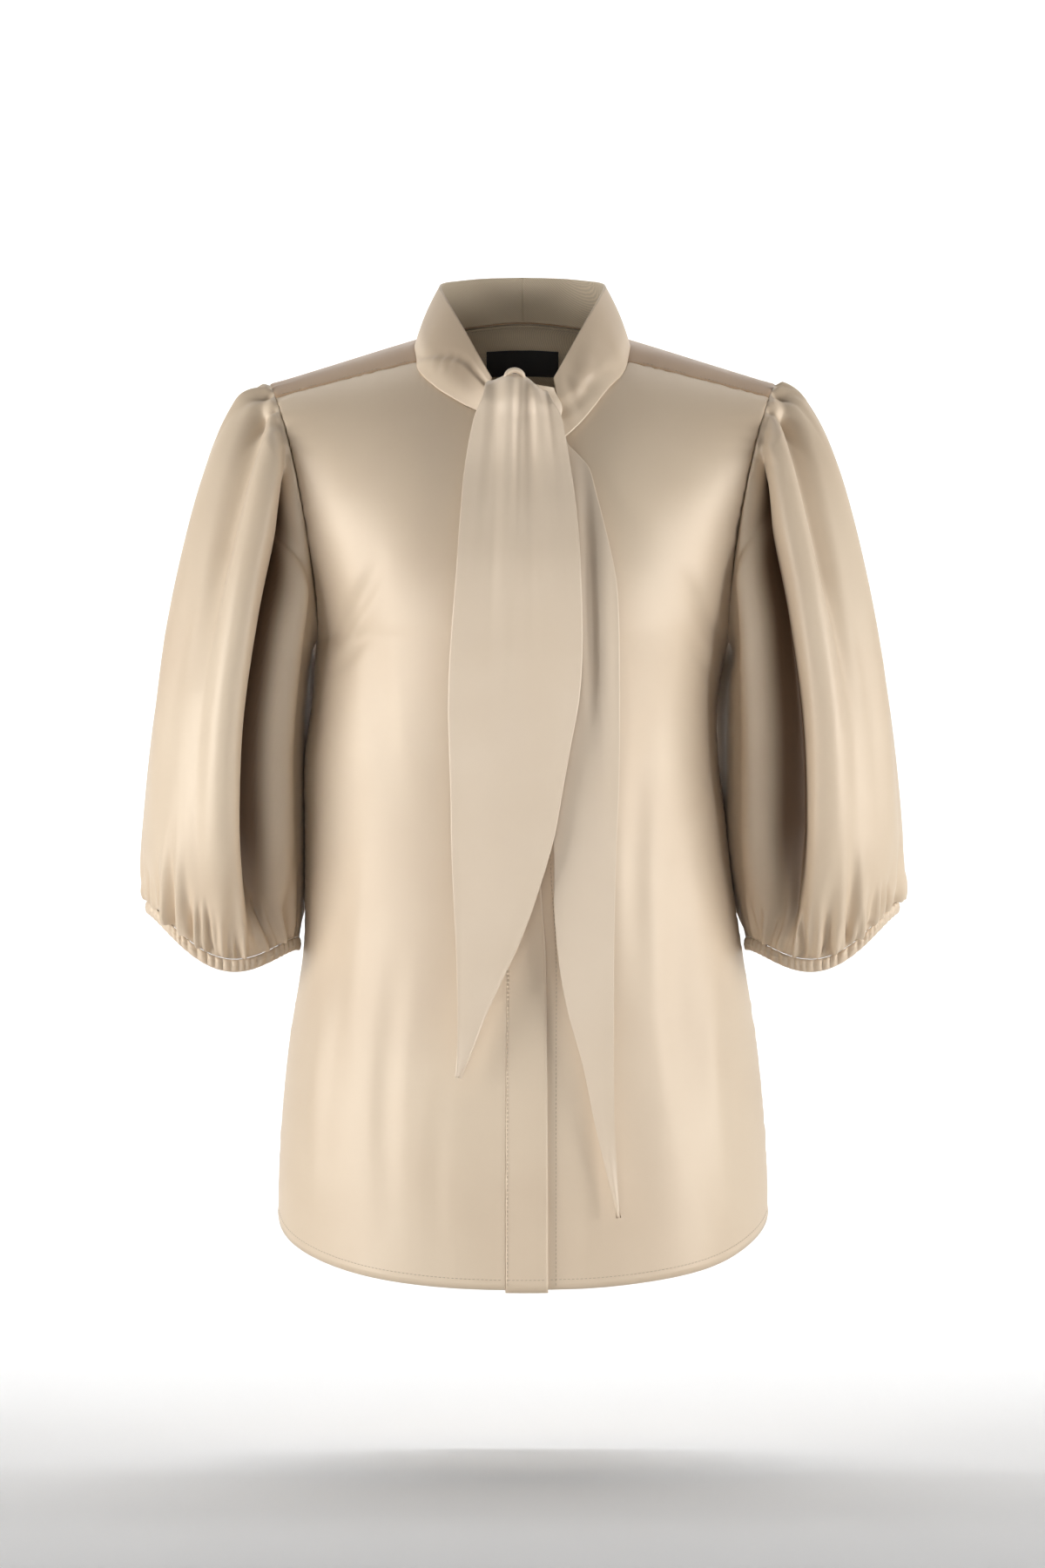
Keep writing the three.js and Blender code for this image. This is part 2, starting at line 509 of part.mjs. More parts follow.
function yokeGrid() {
  const outerAt = (side) => [
    ...steps(YOKE_FRONT, YOKE_BACK, YOKE_SIDE_STEPS).map((s) => ({ g: side, s })),
    ...steps(90, 0, YOKE_BACK_STEPS).slice(1).map((a) => ({ g: side * Math.sin(rad(a)), s: YOKE_BACK })),
  ];
  const half = (side) => NECK_HALF.map((n, k) => {
    const inner = neckAt(side, n);
    const outer = outerAt(side)[k];
    return steps(0, 1, YOKE_CELLS).map((t) => {
      const [g, s] = [mix(inner.g, outer.g, t), mix(inner.s, outer.s, t)];
      const normal = torsoNormal(g, s);
      return { p: torso(g, s), inward: [-normal[0], -normal[1], -normal[2]] };
    });
  });
  const both = [...half(-1), ...half(1).reverse().slice(1)];
  const grid = both.map((row) => row.map((point) => point.p));
  grid.inward = both.map((row) => row.map((point) => point.inward));
  trim(grid, 'first');
  trim(grid, 'last');
  trim(grid, 'left');
  const last = grid.length - 1;
  for (let k = YOKE_SIDE_STEPS + 1; k < last - YOKE_SIDE_STEPS; k += 1) {
    const [edge, next] = [grid[k][YOKE_CELLS], grid[k][YOKE_CELLS - 1]];
    grid[k][YOKE_CELLS] = plus(edge, unit(minus(next, edge)), SEAM / 2);
  }
  steps(YOKE_FRONT, YOKE_BACK, YOKE_SIDE_STEPS).forEach((angle, k) => {
    [[-1, k], [1, last - k]].forEach(([side, row]) => {
      let p = plus(armhole(side, angle), acrossArmhole(side, angle), SEAM / 2);
      if (k === 0) p = plus(p, unit(minus(armhole(side, 20), armhole(side, 30))), SEAM / 2);
      if (k === YOKE_SIDE_STEPS) p = plus(p, unit(minus(armhole(side, -60), armhole(side, -70))), SEAM / 2);
      grid[row][YOKE_CELLS] = p;
      grid.inward[row][YOKE_CELLS] = rimInward(side, angle, false);
    });
  });
  return grid;
}

const YOKE = yokeGrid();

function yoke() {
  return cloth('yoke', SATIN_YOKE, YOKE, CLOTH, [0, 1, 1], false, (i, j) => YOKE.inward[i][j]);
}

function collarHalf(name, side) {
  const stations = [...steps(0, 2.5, 8), ...steps(2.5, NECK_CORNER, 10).slice(1), 6, 7, 8, 9, 9.6];
  const heights = [0, 0.25, 0.5, 0.78, 1];
  const grid = heights.map((t) => stations.map((n) => {
    const seam = neckAt(side, n);
    let base = torso(seam.g, seam.s);
    if (side > 0) {
      base = plus(base, ['x', 'y', 'z'].map((column) => read(COLLAR_DROP, 'n', column, n)));
    }
    const top = [side * read(COLLAR_TOP, 'n', 'x', n), read(COLLAR_TOP, 'n', 'y', n),
      read(COLLAR_TOP, 'n', 'z', n)];
    const up = unit(minus(top, base));
    const start = plus(base, up, COLLAR.lift);
    const away = unit([base[0], base[1] + COLLAR.aimY, COLLAR.aimZ]);
    return plus(plus(start, minus(top, start), t), away, Math.sin(Math.PI * t) * COLLAR.crown);
  }));
  grid.forEach((row) => { row[0] = [side * (SEAM / 2), row[0][1], row[0][2]]; });
  const wall = (i) => (i === heights.length - 1 ? COLLAR_WALL * COLLAR.thinTop : COLLAR_WALL);
  const straight = (i, j) => (j === 0 ? [0, -1, 0] : null);
  return cloth(name, SATIN, grid, wall, [side, 0, 0.4], false, straight);
}

function foldDepth(fold, angle, v) {
  const t = (v - fold.from) / (fold.to - fold.from);
  if (t <= 0 || t >= 1) return 0;
  const centre = mix(fold.top, fold.bottom, Math.sqrt(t));
  const fade = Math.sin(Math.PI * clamp(t) ** 0.6);
  return fold.deep * bump((angle - centre) / (fold.wide * FOLD_SPREAD)) * clamp(fade * 1.5);
}

// Small gathers at the cap and above the cuff, uneven in depth and spacing.
function gatherDepth(angle, v, side) {
  const a = rad(angle);
  const cap = smooth(v / 0.04) * (1 - smooth((v - 0.06) / 0.2)) * bump(angle / 100);
  const capWave = Math.sin(24 * a + 0.9 * Math.sin(3 * a + side)) * (1.6 + 0.6 * Math.sin(5 * a));
  const low = smooth((v - 0.72) / 0.2) * (1 - smooth((v - 0.95) / 0.05));
  const lowWave = Math.sin(24 * a + 1.3 * Math.sin(2 * a + side)) * (2.1 + 1.1 * Math.sin(4 * a + 2 * side));
  return cap * capWave + low * lowWave;
}

// Plain section of a sleeve at a place down it, with its inner side near the body.
function sleeveRow(side, v) {
  const row = {};
  Object.keys(SLEEVE[0]).forEach((column) => { row[column] = read(SLEEVE, 'v', column, v); });
  if (side > 0) row.xIn -= LEFT_SLACK.by * bump((v - LEFT_SLACK.at) / LEFT_SLACK.over);
  return row;
}

// How far a sleeve leans in to rest against the body, just behind the side seam.
function restReach(side, angle, v) {
  const apart = ((angle - REST.angle + 540) % 360) - 180;
  const along = clamp((v - REST.from) / (REST.to - REST.from));
  const reach = side < 0 ? REST.right : REST.left;
  return reach * bump(apart / REST.wide) * clamp(1.8 * Math.sin(Math.PI * along));
}

function sleevePoint(side, angle, v) {
  const row = sleeveRow(side, v);
  const p = compass(row, angle);
  const turn = angle > 180 ? angle - 360 : angle;
  const folds = SLEEVE_FOLDS[side < 0 ? 'right' : 'left'];
  let depth = folds.reduce((sum, fold) => sum + foldDepth(fold, turn, v), 0) * smooth(v / 0.1);
  depth *= 1 - smooth((v - 0.86) / 0.14);
  depth += gatherDepth(turn, v, side);
  const inward = smooth((Math.abs(turn) - 130) / 40);
  depth = depth > 0 ? depth * (1 - inward) : depth * (1 - 0.7 * inward);
  const along = minus(compass(row, angle + 2), compass(row, angle - 2));
  const lower = Math.min(1, v + 0.02);
  const upper = Math.max(0, lower - 0.04);
  const down = minus(compass(sleeveRow(side, lower), angle), compass(sleeveRow(side, upper), angle));
  const moved = plus(p, unit(cross(along, down)), depth);
  return [side * (moved[0] - restReach(side, turn, v)), moved[1], moved[2]];
}

function sleeve(name, side) {
  const grid = SLEEVE_RINGS.map((v) => steps(0, 360, SLEEVE_COLUMNS).slice(0, -1)
    .map((angle) => sleevePoint(side, angle, v)));
  const half = SEAM / 2;
  const signed = (angle) => (angle > 180 ? angle - 360 : angle);
  for (let j = 0; j < SLEEVE_COLUMNS; j += 2) {
    const angle = signed((360 * j) / SLEEVE_COLUMNS);
    grid[0][j] = plus(armhole(side, angle), acrossArmhole(side, angle), -half);
  }
  for (let j = 1; j < SLEEVE_COLUMNS; j += 2) {
    const next = grid[0][(j + 1) % SLEEVE_COLUMNS];
    grid[0][j] = plus(grid[0][j - 1], minus(next, grid[0][j - 1]), 0.5);
  }
  const last = grid.length - 1;
  grid[last] = grid[last].map((p) => plus(p, [0, 0, SEAM]));
  const rims = steps(0, 360, SLEEVE_COLUMNS).slice(0, -1)
    .map((angle) => rimInward(side, signed(angle), true));
  return cloth(name, SATIN, grid, CLOTH, [-side, 0, -1], true, (i, j) => (i === 0 ? rims[j] : null));
}

function cuff(name, side) {
  const columns = CUFF_RUCHES * 2;
  const seam = SLEEVE[SLEEVE.length - 1];
  const profile = [
    { drop: 0, out: 0, deep: 0.5 }, { drop: 0.5, out: CUFF_SWELL, deep: 1 }, { drop: 1, out: 0, deep: 0.8 },
  ];
  const grid = profile.map((row) => Array.from({ length: columns }, (_, j) => {
    const angle = (360 * j) / columns;
    const p = compass(seam, angle);
    const away = unit([p[0] - CUFF_CENTRE_X, p[1] - SIDE_Y, 0]);
    const ruche = (j % 2 ? 1 : -1) * CUFF_RUCHE_DEPTH * row.deep * (1 + 0.3 * Math.sin(rad(5 * angle)));
    const moved = plus(p, away, row.out + ruche);
    return [side * moved[0], moved[1], moved[2] - row.drop * CUFF_HEIGHT];
  }));
  return cloth(name, SATIN, grid, CUFF_WALL, [-side, 0, 0], true);
}

// Tie end: a folded band between two edges, with soft pleats that fade downwards.
function tie(name, table, columns, shape, outward) {
  const grid = table.map((row, i) => steps(0, 1, columns).map((t) => {
    const x = mix(row.left, row.right, t);
    return [x, row.y + shape(x, t, row, i), row.z];
  }));
  return cloth(name, SATIN_DEEP, grid, TIE_WALL, outward);
}

function tieOver() {
  const pleats = [
    { x0: -9, x1: -17, wide: 9, deep: -3.2, ends: -230 }, { x0: 2, x1: 8, wide: 7, deep: 2.4, ends: -210 },
    { x0: 10, x1: 24, wide: 8, deep: -2.6, ends: -190 }, { x0: -19, x1: -33, wide: 7, deep: 1.8, ends: -170 },
  ];
  return tie('tie_over', TIE_OVER, 12, (x, t, row, i) => {
    if (i < TIE_ROOT) return 0;
    const crown = TIE_CROWN.over * (1 - (2 * t - 1) ** 2) * clamp((row.right - row.left) / TIE_FULL);
    const sum = pleats.reduce((total, pleat) => {
      const down = clamp((row.z - TIE_TOP_Z) / (pleat.ends - TIE_TOP_Z));
      const centre = mix(pleat.x0, pleat.x1, down);
      return total + pleat.deep * (1 - smooth(down)) * bump((x - centre) / pleat.wide);
    }, 0);
    return crown + sum + TIE_LIFT;
  }, [0, -1, 0]);
}

function tieUnder() {
  return tie('tie_under', TIE_UNDER, 7, (x, t, row) => {
    const crown = TIE_CROWN.under * (1 - (2 * t - 1) ** 2) * clamp((row.right - row.left) / TIE_FULL);
    const open = smooth((x - 42) / 20) * smooth((-row.z - 95) / 60) * (1 - smooth((-row.z - 330) / 120));
    return crown + TIE_LIFT * open;
  }, [0, -1, 0]);
}

function knot() {
  const grid = steps(0, 1, 3).map((t) => Array.from({ length: KNOT.columns }, (_, j) => {
    const a = (2 * Math.PI * j) / KNOT.columns;
    const pinch = 1 - KNOT.pinch * Math.cos(Math.PI * 2 * t);
    const x = KNOT.x + KNOT.halfWidth * pinch * Math.cos(a) + KNOT.lean * t;
    const y = KNOT.y + KNOT.halfDepth * Math.sin(a) + KNOT.back * t + KNOT.belly * Math.sin(Math.PI * t);
    return [x, y, mix(KNOT.top, KNOT.bottom, t) + KNOT.slant * Math.cos(a)];
  }));
  return cloth('tie_knot', SATIN_DEEP, grid, KNOT.wall, [-1, 0, 0], true);
}

// Row of the neck seam at a place across the back.
function neckRow(x) {
  const n = steps(0, 4, 200).find((at) => read(NECK, 'n', 'x', at) >= Math.abs(x));
  return read(NECK, 'n', 's', n);
}

// Layer on the inner side of the yoke, reaching equally to both sides of the centre back, between two rows
// counted in degrees below the neck seam. `inset` is measured from the yoke's outer skin.
function innerLayer(name, finish, reach, from, to, inset, columns) {
  const layer = steps(-reach, reach, columns).map((x) => steps(from, to, 3).map((down) => {
    const s = neckRow(x) - down;
    const g = x / Math.abs(armhole(1, s)[0]);
    const normal = torsoNormal(g, s);
    return { p: plus(torso(g, s), normal, -inset), inward: [-normal[0], -normal[1], -normal[2]] };
  }));
  const grid = layer.map((row) => row.map((point) => point.p));
  return cloth(name, finish, grid, STRIP_WALL, [0, 1, 1], false, (i, j) => layer[i][j].inward);
}

const blouse = new THREE.Group();
blouse.name = 'blouse';
blouse.add(
  frontPanel('front_right', -1),
  frontPanel('front_left', 1),
  placket(),
  backPanel(),
  yoke(),
  sleeve('sleeve_right', -1),
  sleeve('sleeve_left', 1),
  cuff('cuff_right', -1),
  cuff('cuff_left', 1),
  collarHalf('collar_right', -1),
  collarHalf('collar_left', 1),
  knot(),
  tieOver(),
  tieUnder(),
  innerLayer('neck_facing', INNER_CLOTH, 50, 1.5, 22, CLOTH + SEAM + YOKE_SAG, 12),
  innerLayer('label', LABEL_CLOTH, 26.5, 18, 30, CLOTH + 2 * SEAM + STRIP_WALL + YOKE_SAG, 6),
);

export default blouse;
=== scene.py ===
"""Satin blouse with a tie neck, filled out as on a wearer: its cloth, creases, ruching and sewing.

Sizes inside the classes are in millimetres; meshes are made in metres. X runs to the wearer's left,
Y to the back and Z up, and the garment faces -Y.
"""

import logging
import math
from dataclasses import dataclass, field
from enum import Enum

import bpy
import numpy as np
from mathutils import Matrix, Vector


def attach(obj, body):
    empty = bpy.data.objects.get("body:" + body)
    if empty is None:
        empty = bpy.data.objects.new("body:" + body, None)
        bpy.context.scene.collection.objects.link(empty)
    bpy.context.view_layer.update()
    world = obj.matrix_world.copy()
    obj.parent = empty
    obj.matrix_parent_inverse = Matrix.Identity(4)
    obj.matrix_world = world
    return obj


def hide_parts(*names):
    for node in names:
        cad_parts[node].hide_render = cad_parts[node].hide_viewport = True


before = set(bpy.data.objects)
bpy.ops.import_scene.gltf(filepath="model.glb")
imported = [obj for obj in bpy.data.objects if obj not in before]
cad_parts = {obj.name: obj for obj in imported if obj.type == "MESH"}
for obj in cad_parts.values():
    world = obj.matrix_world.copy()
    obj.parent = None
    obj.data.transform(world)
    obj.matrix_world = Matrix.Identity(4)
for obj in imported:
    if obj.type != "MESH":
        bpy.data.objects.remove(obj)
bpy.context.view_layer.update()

LOG = logging.getLogger("blouse")
Array = np.ndarray
MM = 0.001
SEAM_HALF = -0.05


class Side(Enum):
    """Which side of the wearer a piece is on, with the sign of its X."""

    RIGHT = -1
    LEFT = 1


class Held(Enum):
    """How a sheet of cloth is kept in its shape."""

    DRAPED = "draped"
    GATHERED = "gathered"
    FOLDED = "folded"
    HUNG = "hung"


def smooth(t: Array | float) -> Array:
    """Ease from 0 to 1 with level ends."""
    t = np.clip(t, 0.0, 1.0)
    return t * t * (3.0 - 2.0 * t)


def bump(t: Array | float) -> Array:
    """Rounded hill of height 1 at 0 that reaches 0 at -1 and 1."""
    return np.where(np.abs(t) >= 1.0, 0.0, np.cos(np.clip(t, -1.0, 1.0) * np.pi / 2.0) ** 2)


def mix(a: Array | float, b: Array | float, t: Array | float) -> Array:
    """Straight blend from a to b."""
    return a + (b - a) * t


def unit(vectors: Array) -> Array:
    """Vectors of length 1 along the last axis."""
    return vectors / np.maximum(np.linalg.norm(vectors, axis=-1, keepdims=True), 1e-12)


def point(x: Array | float, y: Array | float, z: Array | float) -> Array:
    """Stack three coordinates into points."""
    return np.stack(np.broadcast_arrays(np.asarray(x, float), y, z), axis=-1)


@dataclass(frozen=True)
class Profile:
    """Table with named columns, read as smooth curves over its first column.

    Each curve passes through the rows, with its slope at a row taken from the two neighbours.
    """

    names: tuple[str, ...]
    rows: tuple[tuple[float, ...], ...]

    def read(self, name: str, at: Array | float) -> Array:
        """Value of a column.

        Args:
            name: the column.
            at: values of the first column.

        Returns:
            The smoothed column at those places.
        """
        table = np.array(self.rows, float)
        table = table[np.argsort(table[:, 0])]
        key, value = table[:, 0], table[:, self.names.index(name)]
        ahead = np.minimum(np.arange(len(key)) + 1, len(key) - 1)
        behind = np.maximum(np.arange(len(key)) - 1, 0)
        slope = (value[ahead] - value[behind]) / (key[ahead] - key[behind])
        at = np.asarray(at, float)
        i = np.clip(np.searchsorted(key, at, side="right") - 1, 0, len(key) - 2)
        width = key[i + 1] - key[i]
        t = np.clip((at - key[i]) / width, 0.0, 1.0)
        return (
            (2 * t**3 - 3 * t**2 + 1) * value[i]
            + (t**3 - 2 * t**2 + t) * width * slope[i]
            + (3 * t**2 - 2 * t**3) * value[i + 1]
            + (t**3 - t**2) * width * slope[i + 1]
        )


SLEEVE = Profile(
    ("v", "x_out", "z_out", "x_front", "y_front", "z_front", "x_in", "z_in", "x_back", "y_back", "z_back",
     "peak"),
    (
        (0, 181, -28, 157.5, -58, -110, 147, -212, 166, 62, -100, 0),
        (0.08, 199, -38, 161, -65, -114, 149.5, -216, 169, 69, -105, 0),
        (0.25, 226, -86, 172, -77, -136, 151.5, -224, 178, 79, -130, 0),
        (0.42, 248, -168, 190, -85, -190, 154, -243, 193, 86, -184, 0),
        (0.58, 264, -262, 207, -86, -274, 158, -296, 208, 87, -270, 0),
        (0.75, 273, -350, 215, -80, -364, 157.9, -366, 216, 81, -356, 1),
        (0.92, 272, -388, 215, -60, -425, 158.7, -411, 216, 64, -392, 3.5),
        (1, 269, -399, 214, -46, -438.6, 160.2, -425, 214, 50, -404.6, 5),
    ),
)
BODY = Profile(
    ("z", "half", "shift", "front", "back"),
    (
        (-212, 147, 0, -128, 112),
        (-250, 145.5, -5, -126, 110),
        (-295, 148.5, -8, -122, 104),
        (-340, 151, -5.5, -119, 100),
        (-385, 153.5, -3, -118, 100),
        (-434, 157.5, 0, -119, 104),
        (-507, 168.5, 0, -123, 112),
        (-587, 175, 0, -127, 119),
        (-669, 176, 0, -129, 123),
    ),
)
CHEST = Profile(
    ("s", "rise", "mid", "full"),
    (
        (-180, 0, 112, 2),
        (-150, 1, 112, 1.95),
        (-120, 4, 108, 1.8),
        (-90, 12, 99, 1.6),
        (-70, 24, 88, 1.5),
        (-50, 40, 74, 1.4),
        (-25, 51.5, 50, 1.3),
        (0, 42.7, 4, 1.3),
        (30, 36, -34, 1.3),
        (60, 28, -72, 1.5),
        (90, 12, -106, 1.7),
        (120, 4, -122, 1.9),
        (150, 1, -128, 2),
        (180, 0, -128, 2),
    ),
)
NECK = Profile(
    ("n", "x", "s"),
    (
        (0, 0, -25), (1, 28, -24), (2, 52, -19), (3, 69, -10), (4, 77, 4), (5, 75, 30),
        (6, 70.5, 42), (7, 59, 53), (8, 46, 60.5), (9, 35, 65), (10, 18, 70), (11, 0, 72),
    ),
)
COLLAR_TOP = Profile(
    ("n", "x", "y", "z"),
    (
        (0, 0, 50, 52), (1, 28, 46, 51), (2, 46, 34, 48.5), (3, 56, 18, 46), (4, 59.5, 0, 42),
        (5, 55.5, -22, 33), (6, 50, -38, 23), (7, 41, -54, 7), (8, 33, -66, -8), (9, 27, -75, -19),
        (9.6, 22, -81, -28),
    ),
)
COLLAR_DROP = Profile(
    ("n", "x", "y", "z"),
    (
        (0, 0, 0, 0), (6, 0, 0, 0), (7, 1, -4.2, -0.5), (8, 1, -10.5, -9), (9, 0, -15, -16),
        (9.6, 2, -15.5, -18),
    ),
)
TIE_OVER = (
    (-38, -16, 14, -84.5), (-29, -20, 15, -86), (-26, -23, 16, -92), (-29, -26, 18, -100),
    (-42, -28.6, 22, -107), (-57, -34, 27.4, -109), (-88, -40, 33, -115), (-125, -43.5, 38, -128),
    (-164, -46.2, 40.7, -138), (-220, -50.5, 41.9, -142), (-257, -52, 39.5, -142),
    (-287, -51.4, 34, -142), (-328, -50.1, 26.7, -141), (-356, -49.8, 21.3, -141),
    (-400, -48, 7.9, -140), (-427, -46.5, -2.4, -140), (-452, -45.8, -14, -139),
    (-474, -45.6, -24.3, -139), (-500, -45.6, -34.6, -138), (-520, -45.8, -44, -138),
)
TIE_UNDER = (
    (-63.65, 6, 26, -99.6), (-76, 1.8, 32, -104.5), (-84, 0, 39.5, -106), (-93, -1, 46.8, -109),
    (-108, -2, 51.1, -114.5), (-145, -1.8, 60.2, -125.5), (-173, -1, 65.7, -131),
    (-201, 0, 67.5, -133.3), (-257, 4.3, 68.1, -133.8), (-315, 13.4, 67.5, -133.8),
    (-358, 21.3, 65.7, -133.8), (-400, 21.9, 64.5, -133.8), (-441, 25.6, 63.9, -134),
    (-474, 31.6, 63.9, -134), (-511, 42, 63.9, -134.2), (-555, 51.1, 64.5, -134.5),
    (-588, 59, 66.3, -134.5), (-618, 66.3, 68, -134.5),
)


@dataclass(frozen=True)
class Fold:
    """One long fold of a sleeve: a soft trough (minus) or ridge, slanting from one angle to another."""

    top: float
    bottom: float
    start: float
    end: float
    before: float
    after: float
    deep: float

    def depth(self, angle: Array, v: Array) -> Array:
        """Height of the fold over the plain sleeve: a rounded hill across, fading at both ends.

        Args:
            angle: angle round the sleeve in degrees.
            v: place down the sleeve, 0 to 1.

        Returns:
            The move along the outward direction, in millimetres.
        """
        t = (v - self.start) / (self.end - self.start)
        inside = (t > 0) & (t < 1)
        t = np.clip(t, 0.0, 1.0)
        centre = mix(self.top, self.bottom, np.sqrt(t))
        fade = np.clip(np.sin(np.pi * t**0.6) * 1.5, 0.0, 1.0)
        away = angle - centre
        wide = np.where(away < 0, self.before, self.after) * 1.6
        return np.where(inside, self.deep * bump(away / wide) * fade, 0.0)


@dataclass
class Figure:
    """The general figure that the cloth is filled out on: body sections, armholes and sleeves."""

    side_y: float = 2.0
    shoulder_y: float = 4.0
    underarm_z: float = -212.0
    hem_centre_z: float = -669.0
    hem_side_z: float = -620.0
    hem_power: float = 2.1
    hem_half: float = 176.0
    roundness: float = 2.3
    yoke_front: float = 30.0
    yoke_back: float = -70.0

    def compass(self, row: dict[str, Array], angle: Array) -> Array:
        """Closed curve through four compass points, with one wave and half a wave round the loop.

        Args:
            row: the points' columns.
            angle: degrees from the outermost point towards the front.

        Returns:
            Points of the loop, for the wearer's left side.
        """
        a = np.radians(angle)

        def ring(out: Array, front: Array, inner: Array, back: Array) -> Array:
            """Sum of the mean, the single wave and the double wave."""
            return (
                (out + front + inner + back) / 4
                + (out - inner) / 2 * np.cos(a)
                + (front - back) / 2 * np.sin(a)
                + (out - front + inner - back) / 4 * np.cos(2 * a)
            )

        y = self.shoulder_y * (1 + np.cos(a)) / 2 + self.side_y * (1 - np.cos(a)) / 2
        y = y + np.sin(a) * np.where(np.sin(a) > 0, row["y_front"] - y, -(row["y_back"] - y))
        x = ring(row["x_out"], row["x_front"], row["x_in"], row["x_back"])
        z = ring(row["z_out"], row["z_front"], row["z_in"], row["z_back"])
        return point(x, y, z + row["peak"] * (np.sin(3 * a) + np.sin(a)))

    def armhole(self, side: Array | float, angle: Array | float) -> Array:
        """Points of the armhole seam at angles from the shoulder, on the side of the given sign."""
        row = {name: SLEEVE.read(name, 0.0) for name in SLEEVE.names}
        loop = self.compass(row, np.asarray(angle, float))
        return loop * point(side, 1.0, 1.0)

    def hem(self, g: Array) -> Array:
        """Height of the hem: level at the middle and turned up towards the side seams."""
        turn = np.arcsin(np.clip(np.abs(g), 0, 1)) / (np.pi / 2)
        return self.hem_centre_z + (self.hem_side_z - self.hem_centre_z) * turn**self.hem_power

    def torso(self, g: Array, s: Array) -> Array:
        """Body surface.

        Ovals below the underarm; above it the same ovals cut off at the armhole, blending into a level
        shoulder line.

        Args:
            g: place across, -1 at the wearer's right side seam or armhole, 1 at the left one.
            s: 280 at the front hem, 180 at the underarm, 0 on the shoulder line, -280 at the back hem.

        Returns:
            Points of the surface.
        """
        g, s = np.broadcast_arrays(np.asarray(g, float), np.asarray(s, float))
        side = np.where(g < 0, -1.0, 1.0)
        across = np.clip(np.abs(g), 0, 1)
        z = mix(self.underarm_z, self.hem(g), np.clip((np.abs(s) - 180) / 100, 0, 1))
        mid = np.where(s > 0, BODY.read("front", z), BODY.read("back", z))
        low_y = self.side_y + (mid - self.side_y) * np.sqrt(1 - across**self.roundness)
        low = point(BODY.read("shift", z) + g * BODY.read("half", z), low_y, z)
        up = np.clip(s, -180, 180)
        edge = self.armhole(side, up)
        soft = 0.3
        level = (np.hypot(1, soft) - np.hypot(across, soft)) / (np.hypot(1, soft) - soft)
        flat = (1 - across**self.roundness) ** (1 / CHEST.read("full", up))
        mid = CHEST.read("mid", up)
        shoulder = edge[..., 1] + (mid - edge[..., 1]) * flat
        reach = 1 - ((edge[..., 1] - self.side_y) / (mid - self.side_y)) ** 2
        oval = np.sqrt(np.clip(1 - reach * across**self.roundness, 0, 1))
        oval = self.side_y + (mid - self.side_y) * oval
        y = mix(shoulder, oval, smooth((np.abs(up) - 35) / 55))
        high = point(edge[..., 0] * across, y, edge[..., 2] + CHEST.read("rise", up) * level)
        return np.where((np.abs(s) > 180)[..., None], low, high)

    def outward(self, g: Array, s: Array) -> Array:
        """Outward direction of the body surface, from its slopes across and along."""
        tiny = 0.004
        g = np.asarray(g, float)
        across = self.torso(np.minimum(1, g + tiny), s) - self.torso(np.maximum(-1, g - tiny), s)
        along = self.torso(g, np.asarray(s) - 1) - self.torso(g, np.asarray(s) + 1)
        return unit(np.cross(across, along))

    def neck(self, side: float, n: Array) -> tuple[Array, Array]:
        """Body coordinates g and s of the neck seam, from the centre back (0) to the centre front (11)."""
        s = NECK.read("s", n)
        return side * NECK.read("x", n) / np.abs(self.armhole(1.0, s)[..., 0]), s

    def place_x(self, x: Array, s: Array) -> Array:
        """Place across of a distance from the middle, above the underarm."""
        return x / np.abs(self.armhole(1.0, s)[..., 0])


FIGURE = Figure()


@dataclass(frozen=True)
class Crease:
    """One soft trough (minus) or ridge of the body cloth, from one place to another."""

    x_from: float
    z_from: float
    x_to: float
    z_to: float
    wide: float
    deep: float
    on_front: bool = True

    def depth(self, x: Array, y: Array, z: Array) -> Array:
        """Height of the crease at places on the body: rounded across, fading at both ends."""
        run_x, run_z = self.x_to - self.x_from, self.z_to - self.z_from
        length = math.hypot(run_x, run_z)
        along = ((x - self.x_from) * run_x + (z - self.z_from) * run_z) / length**2
        bend = 0.12 * length * np.sin(np.pi * np.clip(along, 0, 1)) * 0.3
        away = ((x - self.x_from) * run_z - (z - self.z_from) * run_x) / length - bend
        facing = smooth(np.where(self.on_front, -y, y) / 12)
        return self.deep * bump(away / self.wide) * bump(2 * along - 1) ** 0.6 * facing


CREASES = (
    Crease(-146, -226, -96, -150, 11, -2.2), Crease(-138, -240, -104, -196, 9, -1.4),
    Crease(144, -228, 104, -158, 10, -2.0), Crease(136, -246, 112, -206, 8, -1.2),
    Crease(-116, -300, -132, -560, 19, -2.6), Crease(-84, -420, -92, -655, 15, -1.7),
    Crease(112, -330, 130, -610, 20, -2.7), Crease(92, -250, 84, -470, 14, -1.5),
    Crease(-132, -430, -146, -640, 12, 1.6), Crease(140, -400, 150, -630, 12, 1.6),
    Crease(-52, -500, -56, -668, 13, -1.2), Crease(-104, -170, -88, -330, 16, -1.3),
    Crease(-120, -180, -96, -350, 17, -2.4, False), Crease(118, -170, 98, -360, 18, -2.6, False),
    Crease(-60, -130, -76, -520, 22, -2.8, False), Crease(48, -120, 70, -560, 20, -2.4, False),
    Crease(-8, -260, 4, -640, 17, -1.9, False), Crease(-122, -380, -134, -640, 15, 1.8, False),
    Crease(124, -400, 136, -630, 15, 1.7, False), Crease(98, -460, 104, -650, 13, -1.8, False),
)


